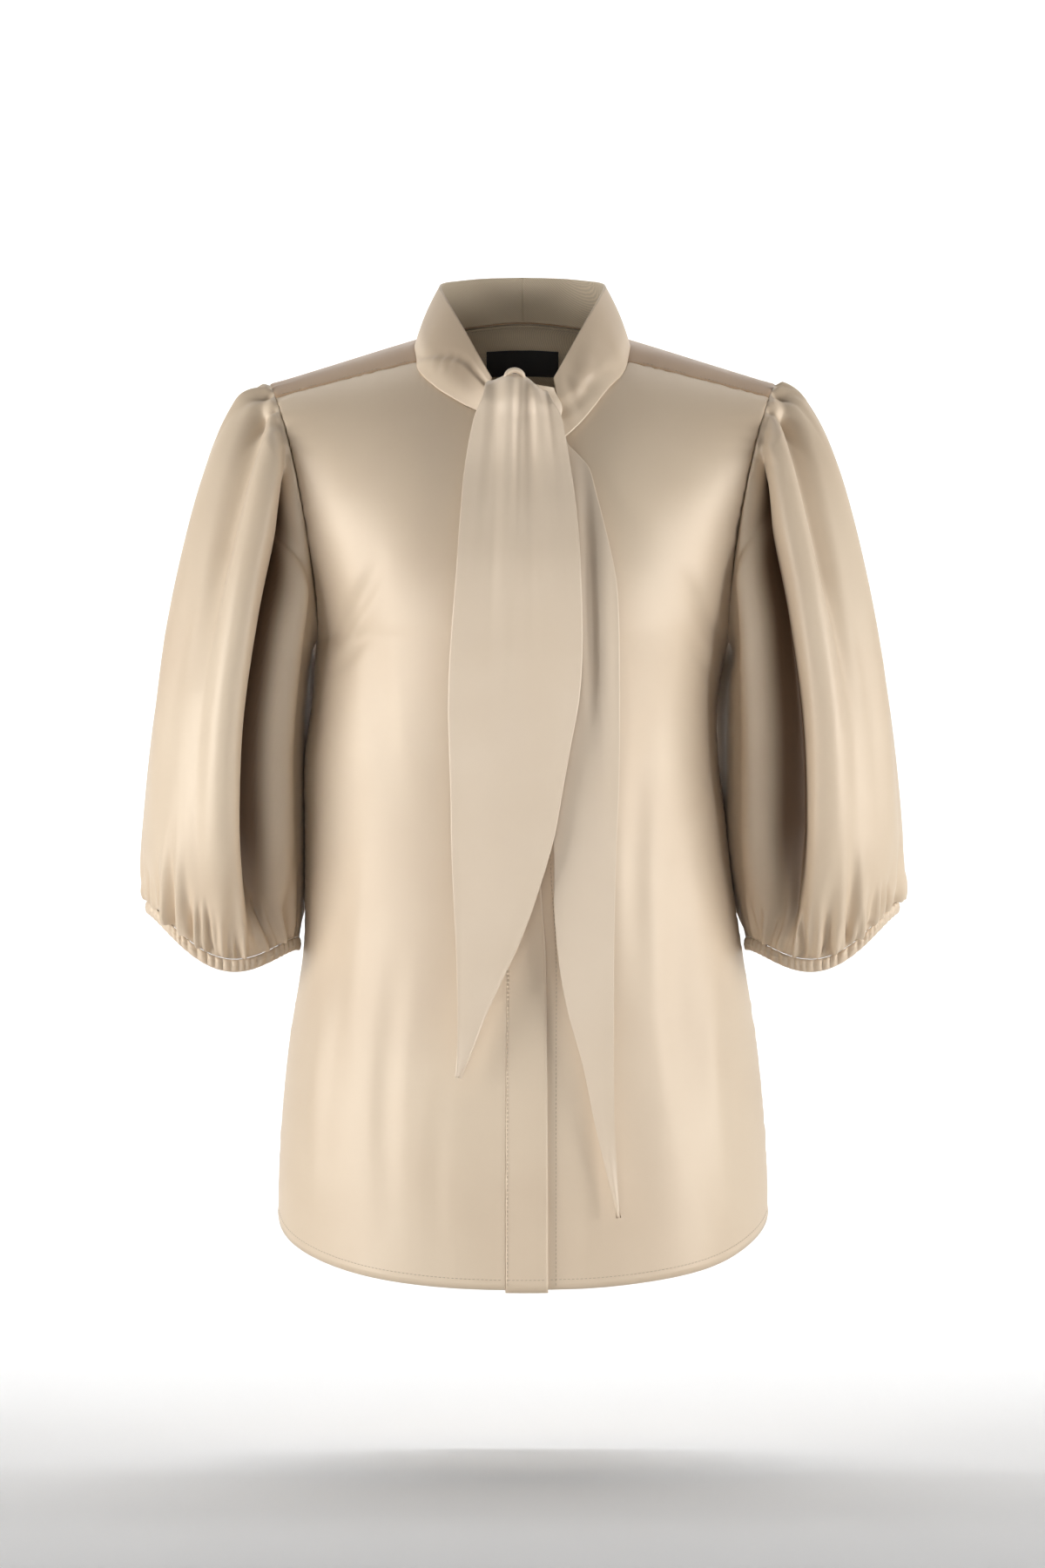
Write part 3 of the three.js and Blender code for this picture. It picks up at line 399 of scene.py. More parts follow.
@dataclass
class Cloth:
    """A piece of cloth: points on a grid, given a wall and put into a mesh."""

    name: str
    nodes: tuple[str, ...]
    material: bpy.types.Material
    slot: str
    wall: float = 1.0
    reverse: bpy.types.Material | None = None

    def normals(self, grid: Array, closed: bool) -> Array:
        """Directions square to the grid, from the differences of neighbouring points."""
        if closed:
            across = np.roll(grid, -1, axis=1) - np.roll(grid, 1, axis=1)
        else:
            across = np.gradient(grid, axis=1)
        return unit(np.cross(across, np.gradient(grid, axis=0)))

    def mesh(self, grid: Array, outward: tuple[float, float, float], closed: bool = False,
             wall: Array | float | None = None, fold_shade: Array | None = None) -> bpy.types.Object:
        """Closed wall: the grid, a second skin inside it, and strips that join their rims.

        Args:
            grid: points of the outer skin, rows by columns, in millimetres.
            outward: roughly the outward direction at the grid's middle.
            closed: whether the last column meets the first.
            wall: thickness, one number or one for each point.
            fold_shade: weight of the painted shade at each point, 0 to 1, highest deep in a fold.

        Returns:
            The new object, riding on the body and standing for its nodes.
        """
        rows, columns = grid.shape[:2]
        normal = self.normals(grid, closed)
        sign = 1.0 if np.dot(normal[rows // 2, columns // 2], outward) >= 0 else -1.0
        thick = self.wall if wall is None else wall
        thick = np.broadcast_to(np.asarray(thick, float), (rows, columns))
        inner = grid - sign * normal * thick[..., None]
        points = np.concatenate([grid.reshape(-1, 3), inner.reshape(-1, 3)]) * MM
        index = np.arange(rows * columns).reshape(rows, columns)
        right = np.roll(index, -1, axis=1) if closed else index[:, 1:]
        left = index if closed else index[:, :-1]
        skin = np.stack([left[:-1], right[:-1], right[1:], left[1:]], axis=-1).reshape(-1, 4)
        count = rows * columns
        faces = [skin, skin[:, ::-1] + count]
        for row, turn in ((0, 1), (rows - 1, -1)):
            a, b = left[row], right[row]
            faces.append(np.stack([b, a, a + count, b + count], axis=-1)[:, ::turn])
        if not closed:
            for column, turn in ((0, 1), (columns - 1, -1)):
                a, b = index[:-1, column], index[1:, column]
                faces.append(np.stack([a, b, b + count, a + count], axis=-1)[:, ::turn])
        side = np.zeros(sum(len(part) for part in faces), dtype=np.int32)
        side[len(skin):2 * len(skin)] = 1
        faces = np.concatenate(faces)
        if sign < 0:
            faces = faces[:, ::-1]
        uv = self.lay_flat(grid)
        made = self.put(points, faces, np.concatenate([uv, uv]))
        if self.reverse:
            made.data.materials.append(self.reverse)
            made.data.polygons.foreach_set("material_index", side)
        # Per-point weight of painted shade, which the satin finish turns into a darker colour.
        if fold_shade is not None:
            layer = made.data.attributes.new("fold_shade", "FLOAT", "POINT")
            deep = np.broadcast_to(fold_shade, (rows, columns)).ravel()
            layer.data.foreach_set("value", np.tile(deep, 2).astype(np.float32))
        return made

    def lay_flat(self, grid: Array) -> Array:
        """Cloth coordinates in metres: running lengths across and along the grid."""
        across = np.linalg.norm(np.diff(grid, axis=1), axis=-1).mean(axis=0)
        along = np.linalg.norm(np.diff(grid, axis=0), axis=-1).mean(axis=1)
        u = np.concatenate([[0.0], np.cumsum(across)])
        v = np.concatenate([[0.0], np.cumsum(along)])
        return np.stack(np.meshgrid(u, v), axis=-1).reshape(-1, 2) * MM

    def put(self, points: Array, faces: Array, uv: Array | None = None) -> bpy.types.Object:
        """Make the mesh object, dress it and tie it to the frame."""
        data = bpy.data.meshes.new(self.name)
        data.vertices.add(len(points))
        data.vertices.foreach_set("co", points.astype(np.float32).ravel())
        data.loops.add(faces.size)
        data.loops.foreach_set("vertex_index", faces.astype(np.int32).ravel())
        data.polygons.add(len(faces))
        data.polygons.foreach_set("loop_start", np.arange(len(faces), dtype=np.int32) * faces.shape[1])
        data.polygons.foreach_set("use_smooth", np.ones(len(faces), dtype=bool))
        data.update(calc_edges=True)
        if uv is not None:
            layer = data.uv_layers.new(name="cloth")
            layer.data.foreach_set("uv", uv[faces.ravel()].astype(np.float32).ravel())
        data.validate()
        made = bpy.data.objects.new(self.name, data)
        bpy.context.scene.collection.objects.link(made)
        data.materials.append(self.material)
        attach(made, "root")
        if self.nodes:
            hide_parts(*self.nodes)
        LOG.info("%s: %d faces", self.name, len(faces))
        return made


@dataclass(frozen=True)
class SatinFinish:
    """Smooth satin: a soft sheen along the warp, a fine weave, faint changes of colour and painted shade that
    darkens the colour in folds.
    """

    name: str
    colour: tuple[float, float, float]
    shade: tuple[float, float, float]
    # Colour of the painted shade put into folds, mixed in by each point's fold shade weight.
    deep: tuple[float, float, float] = (0.105, 0.050, 0.018)
    rough: float = 0.47
    sheen: float = 0.05
    weave: float = 0.10
    gloss: float = 0.46
    metal: float = 0.06

    def build(self) -> bpy.types.Material:
        """Make the material.

        Returns:
            A material whose colour drifts between two tones, is pulled towards a dark tone by painted fold
            shade, and whose weave is a fine bump.
        """
        made = bpy.data.materials.new(self.name)
        made.use_nodes = True
        nodes, links = made.node_tree.nodes, made.node_tree.links
        shader = nodes["Principled BSDF"]
        shader.inputs["Roughness"].default_value = self.rough
        shader.inputs["Sheen Weight"].default_value = self.sheen
        shader.inputs["Sheen Roughness"].default_value = 0.45
        shader.inputs["Specular IOR Level"].default_value = self.gloss
        shader.inputs["Metallic"].default_value = self.metal
        shader.inputs["Anisotropic"].default_value = 0.5
        place = nodes.new("ShaderNodeTexCoord")
        drift = nodes.new("ShaderNodeTexNoise")
        drift.inputs["Scale"].default_value = 7.0
        drift.inputs["Detail"].default_value = 3.0
        links.new(place.outputs["Object"], drift.inputs["Vector"])
        tone = nodes.new("ShaderNodeMix")
        tone.data_type = "RGBA"
        tone.inputs["A"].default_value = (*self.colour, 1)
        tone.inputs["B"].default_value = (*self.shade, 1)
        range_of = nodes.new("ShaderNodeMapRange")
        range_of.inputs["From Min"].default_value = 0.38
        range_of.inputs["From Max"].default_value = 0.68
        links.new(drift.outputs["Fac"], range_of.inputs["Value"])
        links.new(range_of.outputs["Result"], tone.inputs["Factor"])
        # Painted shade: the mesh's per-point fold weight pulls the base colour towards the deep colour.
        fold = nodes.new("ShaderNodeAttribute")
        fold.attribute_name = "fold_shade"
        inside = nodes.new("ShaderNodeMix")
        inside.data_type = "RGBA"
        inside.inputs["B"].default_value = (*self.deep, 1)
        links.new(fold.outputs["Fac"], inside.inputs["Factor"])
        links.new(tone.outputs["Result"], inside.inputs["A"])
        links.new(inside.outputs["Result"], shader.inputs["Base Color"])
        cloth = nodes.new("ShaderNodeUVMap")
        cloth.uv_map = "cloth"
        stretch = nodes.new("ShaderNodeMapping")
        stretch.inputs["Scale"].default_value = (5200.0, 900.0, 1.0)
        links.new(cloth.outputs["UV"], stretch.inputs["Vector"])
        weave = nodes.new("ShaderNodeTexNoise")
        weave.inputs["Scale"].default_value = 1.0
        weave.inputs["Detail"].default_value = 2.0
        links.new(stretch.outputs["Vector"], weave.inputs["Vector"])
        relief = nodes.new("ShaderNodeBump")
        relief.inputs["Strength"].default_value = self.weave
        relief.inputs["Distance"].default_value = 0.0004
        links.new(weave.outputs["Fac"], relief.inputs["Height"])
        links.new(relief.outputs["Normal"], shader.inputs["Normal"])
        grain = nodes.new("ShaderNodeTangent")
        grain.direction_type = "UV_MAP"
        grain.uv_map = "cloth"
        links.new(grain.outputs["Tangent"], shader.inputs["Tangent"])
        return made


@dataclass(frozen=True)
class MattFinish:
    """Plain woven cloth or thread without gloss, with a woven bump."""

    name: str
    colour: tuple[float, float, float]
    rough: float = 0.75
    pitch: float = 0.0007

    def build(self) -> bpy.types.Material:
        """Make the material with a fine cross weave in relief and in tone."""
        made = bpy.data.materials.new(self.name)
        made.use_nodes = True
        nodes, links = made.node_tree.nodes, made.node_tree.links
        shader = nodes["Principled BSDF"]
        shader.inputs["Roughness"].default_value = self.rough
        shader.inputs["Sheen Weight"].default_value = 0.3
        place = nodes.new("ShaderNodeTexCoord")
        weave = nodes.new("ShaderNodeTexWave")
        weave.bands_direction = "DIAGONAL"
        weave.inputs["Scale"].default_value = 0.3 / self.pitch
        weave.inputs["Distortion"].default_value = 1.5
        links.new(place.outputs["Object"], weave.inputs["Vector"])
        tone = nodes.new("ShaderNodeMix")
        tone.data_type = "RGBA"
        tone.inputs["A"].default_value = (*self.colour, 1)
        tone.inputs["B"].default_value = (*(c * 0.8 for c in self.colour), 1)
        links.new(weave.outputs["Fac"], tone.inputs["Factor"])
        links.new(tone.outputs["Result"], shader.inputs["Base Color"])
        relief = nodes.new("ShaderNodeBump")
        relief.inputs["Strength"].default_value = 0.25
        relief.inputs["Distance"].default_value = 0.0002
        links.new(weave.outputs["Fac"], relief.inputs["Height"])
        links.new(relief.outputs["Normal"], shader.inputs["Normal"])
        return made


@dataclass
class Wardrobe:
    """The finishes of the whole garment."""

    satin: bpy.types.Material = field(default_factory=lambda: SatinFinish(
        "satin", (0.640, 0.520, 0.385), (0.600, 0.475, 0.345)).build())
    # The yoke is the same satin given a darker colour: painted shade for the shoulders, which face up away
    # from the lights.
    yoke: bpy.types.Material = field(default_factory=lambda: SatinFinish(
        "satin_yoke", (0.470, 0.325, 0.205), (0.350, 0.225, 0.132), rough=0.5, gloss=0.25, metal=0.0).build())
    tie: bpy.types.Material = field(default_factory=lambda: SatinFinish(
        "satin_tie", (0.670, 0.555, 0.430), (0.630, 0.510, 0.380)).build())
    inner: bpy.types.Material = field(default_factory=lambda: MattFinish(
        "inner_cloth", (0.640, 0.530, 0.385)).build())
    label: bpy.types.Material = field(default_factory=lambda: MattFinish(
        "label_cloth", (0.006, 0.006, 0.008), pitch=0.0005).build())
    thread: bpy.types.Material = field(default_factory=lambda: MattFinish(
        "thread", (0.43, 0.34, 0.235), rough=0.5, pitch=0.0003).build())


@dataclass
class Stitching:
    """Rows of short threads sewn along paths."""

    thread: bpy.types.Material
    pitch: float = 3.0
    length: float = 2.1
    radius: float = 0.2
    sides: int = 6

    def along(self, path: Array, lift: Array, zigzag: float = 0.0) -> tuple[Array, Array]:
        """Threads along one path: thin barrels whose ends dip into the cloth.

        Args:
            path: points of the path.
            lift: outward directions at those points.
            zigzag: half width of a zigzag row, 0 for a straight one.

        Returns:
            Points and faces.
        """
        run = np.concatenate([[0.0], np.cumsum(np.linalg.norm(np.diff(path, axis=0), axis=1))])
        count = max(1, int(run[-1] / self.pitch))
        at = (np.arange(count) + 0.5) * self.pitch

        def on(values: Array, where: Array) -> Array:
            """Values of a column-wise array at running lengths."""
            return np.stack([np.interp(where, run, values[:, k]) for k in range(3)], axis=-1)

        middle, up = on(path, at), unit(on(lift, at))
        ahead = unit(on(path, at + 0.5) - on(path, at - 0.5))
        aside = unit(np.cross(up, ahead))
        if zigzag:
            turn = np.where(np.arange(count) % 2 == 0, 1.0, -1.0)[:, None]
            ahead = unit(ahead + aside * turn * zigzag)
            aside = unit(np.cross(up, ahead))
        place = np.array([-0.5, -0.32, 0.32, 0.5]) * self.length
        size = np.array([0.3, 1.0, 1.0, 0.3]) * self.radius
        dip = np.array([-0.25, 0.12, 0.12, -0.25])
        angle = np.arange(self.sides) * 2 * np.pi / self.sides
        centre = (middle[:, None] + ahead[:, None] * place[None, :, None]
                  + up[:, None] * dip[None, :, None])
        ring = (aside[:, None, None] * np.cos(angle)[None, None, :, None]
                + up[:, None, None] * np.sin(angle)[None, None, :, None])
        points = centre[:, :, None] + ring * size[None, :, None, None]
        each = 4 * self.sides
        k = np.arange(self.sides)
        nxt = (k + 1) % self.sides
        rings = [np.stack([k + r * self.sides, nxt + r * self.sides, nxt + (r + 1) * self.sides,
                           k + (r + 1) * self.sides], axis=-1) for r in range(3)]
        ends = []
        for base, turn in ((0, -1), (3 * self.sides, 1)):
            fan = np.stack([np.full(self.sides // 2 - 1, 0), np.arange(1, self.sides - 2, 2),
                            np.arange(2, self.sides - 1, 2), np.arange(3, self.sides, 2)], axis=-1)
            ends.append((fan + base)[:, ::turn])
        one = np.concatenate(rings + ends)
        faces = (one[None] + (np.arange(count) * each)[:, None, None]).reshape(-1, 4)
        return points.reshape(-1, 3), faces

    def sew(self, name: str, paths: list[tuple[Array, Array, float]]) -> bpy.types.Object:
        """Put all the threads of some paths into one piece."""
        points, faces, count = [], [], 0
        for path, lift, zigzag in paths:
            p, f = self.along(path, lift, zigzag)
            points.append(p)
            faces.append(f + count)
            count += len(p)
        piece = Cloth(name, (), self.thread, "satin")
        return piece.put(np.concatenate(points) * MM, np.concatenate(faces))


def spread(count: int, first: bool = True, last: bool = True) -> Array:
    """Even steps from 0 to 1 with a few closer ones beside the ends, where seams dip."""
    close = np.array([0.0045, 0.009, 0.018])
    near = [close] if first else []
    far = [1 - close] if last else []
    return np.unique(np.concatenate([np.linspace(0, 1, count - 6), *near, *far]))


def running(grid: Array, axis: int) -> Array:
    """Running length along an axis of a grid, from 0 at its start."""
    step = np.linalg.norm(np.diff(grid, axis=axis), axis=-1)
    start = np.zeros_like(np.take(step, [0], axis=axis))
    return np.concatenate([start, np.cumsum(step, axis=axis)], axis=axis)


def pucker(length: Array, away: Array, size: float, pitch: float, reach: float, seed: float) -> Array:
    """Small uneven puckers along a seam, dying out with the distance from it.

    Args:
        length: running length along the seam.
        away: distance from the seam.
        size: height of the puckers.
        pitch: their mean spacing.
        reach: how far they run into the cloth.
        seed: shift that makes each seam different.

    Returns:
        Heights in millimetres.
    """
    phase = 2 * np.pi * length / pitch
    uneven = 0.6 + 0.4 * np.sin(phase * 0.17 + 2 * seed)
    wave = np.sin(phase + 1.7 * np.sin(phase * 0.31 + seed)) * uneven
    return size * wave * np.exp(-np.clip(away, 0, None) / reach)


def groove(away: Array, deep: float = 0.4, wide: float = 1.3) -> Array:
    """Dip of the cloth towards a seam at a distance from it."""
    return -deep * np.exp(-((np.clip(away, 0, None) / wide) ** 2))


@dataclass
class Body:
    """Fronts, placket, back and yoke."""

    finishes: Wardrobe
    cells_across: int = 84
    cells_down: int = 170
    placket_from: float = -12.0
    placket_to: float = 18.0
    underlap_to: float = -10.5
    underlap_drop: float = 2.95
    underlap_full_to: float = 20.0
    underlap_fade: float = 26.0

    def underlap(self, points: Array) -> Array:
        """Points moved back behind the closure, and ever less beyond it."""
        fade = 1 - smooth((points[..., 0] - self.underlap_full_to) / self.underlap_fade)
        return points + point(0, 1, 0) * (self.underlap_drop * fade)[..., None]

    def drape(self, grid: Array, normal: Array) -> Array:
        """Broad soft waves of the hanging cloth, wider and deeper towards the hem.

        Args:
            grid: points of the panel.
            normal: outward directions.

        Returns:
            The panel with its waves.
        """
        x, y, z = grid[..., 0], grid[..., 1], grid[..., 2]
        around = np.arctan2(x, -y)
        low = smooth((-z - 230) / 380)
        wave = np.sin(5 * around + 0.6 + z * 0.004) * 0.9 + np.sin(9 * around + 2.1 - z * 0.006) * 0.5
        edge = smooth((-z - 470) / 190)
        hem = np.sin(14 * around + 1.0 + 1.2 * np.sin(3 * around)) * 0.5
        bust = bump((z + 190) / 150) * bump((np.abs(x) - 150) / 55) * np.sin(z * 0.05 + around * 4) * 0.8
        creases = sum(crease.depth(x, y, z) for crease in CREASES)
        return grid + normal * (wave * low + hem * edge + bust + creases)[..., None]

    def column_ends(self, side: Side, t: Array) -> tuple[Array, Array, Array]:
        """Lower place, upper place and upper row of a front's columns.

        Args:
            side: which front.
            t: 0 at the closure to 1 at the side seam.

        Returns:
            Place across at the hem, place across at the top and the row of the top.
        """
        sign = side.value
        inner = self.placket_from if side is Side.RIGHT else self.underlap_to
        split = 0.5
        start = 10.35 if side is Side.RIGHT else 11.57
        n = mix(start, 5.0, np.clip(t / split, 0, 1))
        across = np.where(n > 11, -1.0, 1.0)
        neck_g, neck_s = FIGURE.neck(1.0, np.where(n > 11, 22 - n, n))
        corner = FIGURE.neck(1.0, np.array(5.0))[0]
        part = np.clip((t - split) / (1 - split), 0, 1)
        top = np.where(t < split, neck_g * across, mix(corner, 1.0, part)) * sign
        end = np.where(t < split, neck_s, FIGURE.yoke_front)
        first = np.arcsin(inner / FIGURE.hem_half * sign) / (np.pi / 2)
        low = sign * np.sin(mix(first, 1.0, t) * np.pi / 2)
        return low, top, end

    def panel(self, low: Array, top: Array, end: Array, front: bool) -> tuple[Array, Array, Array]:
        """Grid of a body panel from the hem to its upper end.

        Args:
            low: place across of each column at the hem.
            top: place across at the upper end.
            end: row of the upper end.
            front: whether the panel is on the front.

        Returns:
            Points, outward directions and the share of the way up.
        """
        sign = 1.0 if front else -1.0
        below = int(self.cells_down * 0.6)
        share = np.concatenate([np.linspace(-1, 0, below, endpoint=False),
                                spread(self.cells_down - below, first=False)])[:, None]
        full = np.radians(180 - sign * end[None])
        risen = np.degrees(np.arccos(1 - np.clip(share, 0, 1) * (1 - np.cos(full))))
        s = sign * np.where(share < 0, 180 - 100 * share, 180 - risen)
        g = mix(low[None], top[None], smooth(share) * np.ones_like(low)[None])
        return FIGURE.torso(g, s), FIGURE.outward(g, s), share * np.ones_like(low)[None]

    def seam_dips(self, grid: Array, normal: Array, edges: tuple[bool, bool, bool]) -> Array:
        """Dips and puckers at the first column, last column and last row, where they are seams."""
        length, width = running(grid, 0), running(grid, 1)
        first, last, top = edges
        total = np.zeros(grid.shape[:2])
        if first:
            total += groove(width)
        if last:
            away = width[:, -1:] - width
            total += groove(away) + pucker(length, away, 0.55, 13.0, 9.0, 1.3)
        if top:
            away = length[-1:] - length
            total += groove(away) + pucker(width, away, 0.35, 11.0, 7.0, 0.4)
        return grid + normal * total[..., None]

    def trim(self, grid: Array, first: bool, last: bool, top: bool) -> Array:
        """Move seam edges back by half the seam space."""
        grid = grid.copy()
        if first:
            grid[:, 0] += unit(grid[:, 1] - grid[:, 0]) * SEAM_HALF
        if last:
            grid[:, -1] += unit(grid[:, -2] - grid[:, -1]) * SEAM_HALF
        if top:
            grid[-1] += unit(grid[-2] - grid[-1]) * SEAM_HALF
        return grid

    def front(self, side: Side) -> bpy.types.Object:
        """One front, from the closure to the side seam and up to the neck, yoke and armhole seams."""
        t = spread(self.cells_across)
        low, top, end = self.column_ends(side, t)
        grid, normal, share = self.panel(low, top, end, True)
        grid = self.drape(grid, normal)
        grid = self.seam_dips(grid, normal, (side is Side.RIGHT, True, True))
        if side is Side.LEFT:
            grid = self.underlap(grid)
        grid = self.trim(grid, side is Side.RIGHT, True, True)
        name = f"front_{side.name.lower()}"
        wall = np.where(share < -0.985, 1.7, 1.0)
        cloth = Cloth(name + "_cloth", (name,), self.finishes.satin, "satin", reverse=self.finishes.inner)
        made = cloth.mesh(grid, (side.value, -1, 0), wall=wall)
        return made

    def closure(self) -> bpy.types.Object:
        """Folded band that hides the buttons, a little proud along its free edge."""
        x = np.linspace(self.placket_from, self.placket_to, 16)
        low = x / FIGURE.hem_half
        right_n = mix(11.0, 10.35, np.clip(x / self.placket_from, 0, 1))
        left_n = mix(11.0, 10.0, np.clip(x / self.placket_to, 0, 1))
        n = np.where(x < 0, right_n, left_n)
        g, s = FIGURE.neck(1.0, n)
        grid, normal, share = self.panel(low, np.sign(x) * np.abs(g), s, True)
        grid = self.drape(grid, normal)
        grid[..., 2] -= 2.0 * (share < -0.999)
        away = grid[..., 0] - self.placket_from
        press = groove(away, 0.6, 1.5) + pucker(grid[..., 2], away, 0.2, 17.0, 8.0, 0.7)
        edge = groove(self.placket_to - grid[..., 0], 0.35, 1.0)
        grid = self.trim(grid + normal * (press + edge)[..., None], True, False, False)
        cloth = Cloth("placket_band", ("placket",), self.finishes.satin, "satin")
        made = cloth.mesh(grid, (0, -1, 0), wall=1.9)
        return made

    def back(self) -> bpy.types.Object:
        """Back panel from side seam to side seam, below the yoke."""
        across = np.sin(np.radians(mix(-90, 90, spread(130))))
        end = np.full_like(across, FIGURE.yoke_back)
        grid, normal, share = self.panel(across, across, end, False)
        grid = self.drape(grid, normal)
        grid = self.seam_dips(grid, normal, (True, True, True))
        grid = self.trim(grid, True, True, True)
        wall = np.where(share < -0.985, 1.7, 1.0)
        cloth = Cloth("back_cloth", ("back",), self.finishes.satin, "satin", reverse=self.finishes.inner)
        made = cloth.mesh(grid, (0, 1, 0), wall=wall)
        return made

    def yoke(self) -> bpy.types.Object:
        """Yoke over both shoulders and the upper back, fanned out from the neck seam."""
        shoulder, behind = 70, 64
        n = np.concatenate([np.linspace(5, 2.5, shoulder, endpoint=False), np.linspace(2.5, 0, behind)])
        outer_s = np.concatenate([np.linspace(FIGURE.yoke_front, FIGURE.yoke_back, shoulder, endpoint=False),
                                  np.full(behind, FIGURE.yoke_back)])
        outer_g = np.concatenate([np.ones(shoulder), np.sin(np.radians(np.linspace(90, 0, behind)))])
        inner_g, inner_s = FIGURE.neck(1.0, n)
        t = spread(44)[None]
        g = mix(inner_g[:, None], outer_g[:, None], t)
        s = mix(inner_s[:, None], outer_s[:, None], t)
        g = np.concatenate([-g, g[::-1][1:]])
        s = np.concatenate([s, s[::-1][1:]])
        grid, normal = FIGURE.torso(g, s), FIGURE.outward(g, s)
        length, width = running(grid, 0), running(grid, 1)
        dips = groove(width) + groove(width[:, -1:] - width) + groove(length) + groove(length[-1:] - length)
        dips += pucker(length, width[:, -1:] - width, 0.5, 12.0, 8.0, 2.2)
        ends = (pucker(width, length, 0.5, 15.0, 7.0, 0.9)
                + pucker(width, length[-1:] - length, 0.5, 15.0, 7.0, 2.9))
        dips += ends
        grid = grid + normal * dips[..., None]
        grid = self.trim(grid, True, True, True)
        grid[0] += unit(grid[1] - grid[0]) * SEAM_HALF
        # The yoke's darker satin is painted shade on the upward-facing shoulders.
        cloth = Cloth("yoke_cloth", ("yoke",), self.finishes.yoke, "satin_yoke", reverse=self.finishes.inner)
        made = cloth.mesh(grid, (0, 1, 1))
        return made

    def build(self) -> list[bpy.types.Object]:
        """Make all the body's pieces."""
        return [self.yoke(), self.front(Side.LEFT), self.front(Side.RIGHT), self.closure(), self.back()]


RIGHT_FOLDS = (
    Fold(74, 132, 0.02, 1.1, 13, 19, -30), Fold(100, 156, 0.12, 1.05, 11, 11, 6),
    Fold(50, 96, 0.03, 0.95, 12, 15, 10), Fold(30, 62, 0.02, 0.55, 9, 9, -8),
    Fold(16, 30, 0.02, 0.75, 10, 12, 6), Fold(2, -6, 0.02, 0.6, 8, 9, -5),
    Fold(-35, -60, 0.02, 0.6, 14, 14, -5), Fold(-80, -128, 0.03, 1.0, 18, 18, -12),
    Fold(-60, -95, 0.05, 0.9, 15, 15, 5),
)
LEFT_FOLDS = (
    Fold(68, 128, 0.02, 1.1, 13, 20, -29), Fold(96, 154, 0.1, 1.05, 11, 11, 6),
    Fold(46, 90, 0.03, 0.9, 12, 14, 10), Fold(26, 66, 0.02, 0.6, 9, 9, -9),
    Fold(12, 36, 0.02, 0.8, 10, 11, 6), Fold(-4, -14, 0.02, 0.5, 8, 9, -4),
    Fold(-30, -66, 0.02, 0.55, 13, 13, -5), Fold(-76, -122, 0.03, 1.0, 17, 17, -12),
    Fold(-54, -90, 0.05, 0.9, 15, 15, 5),
)


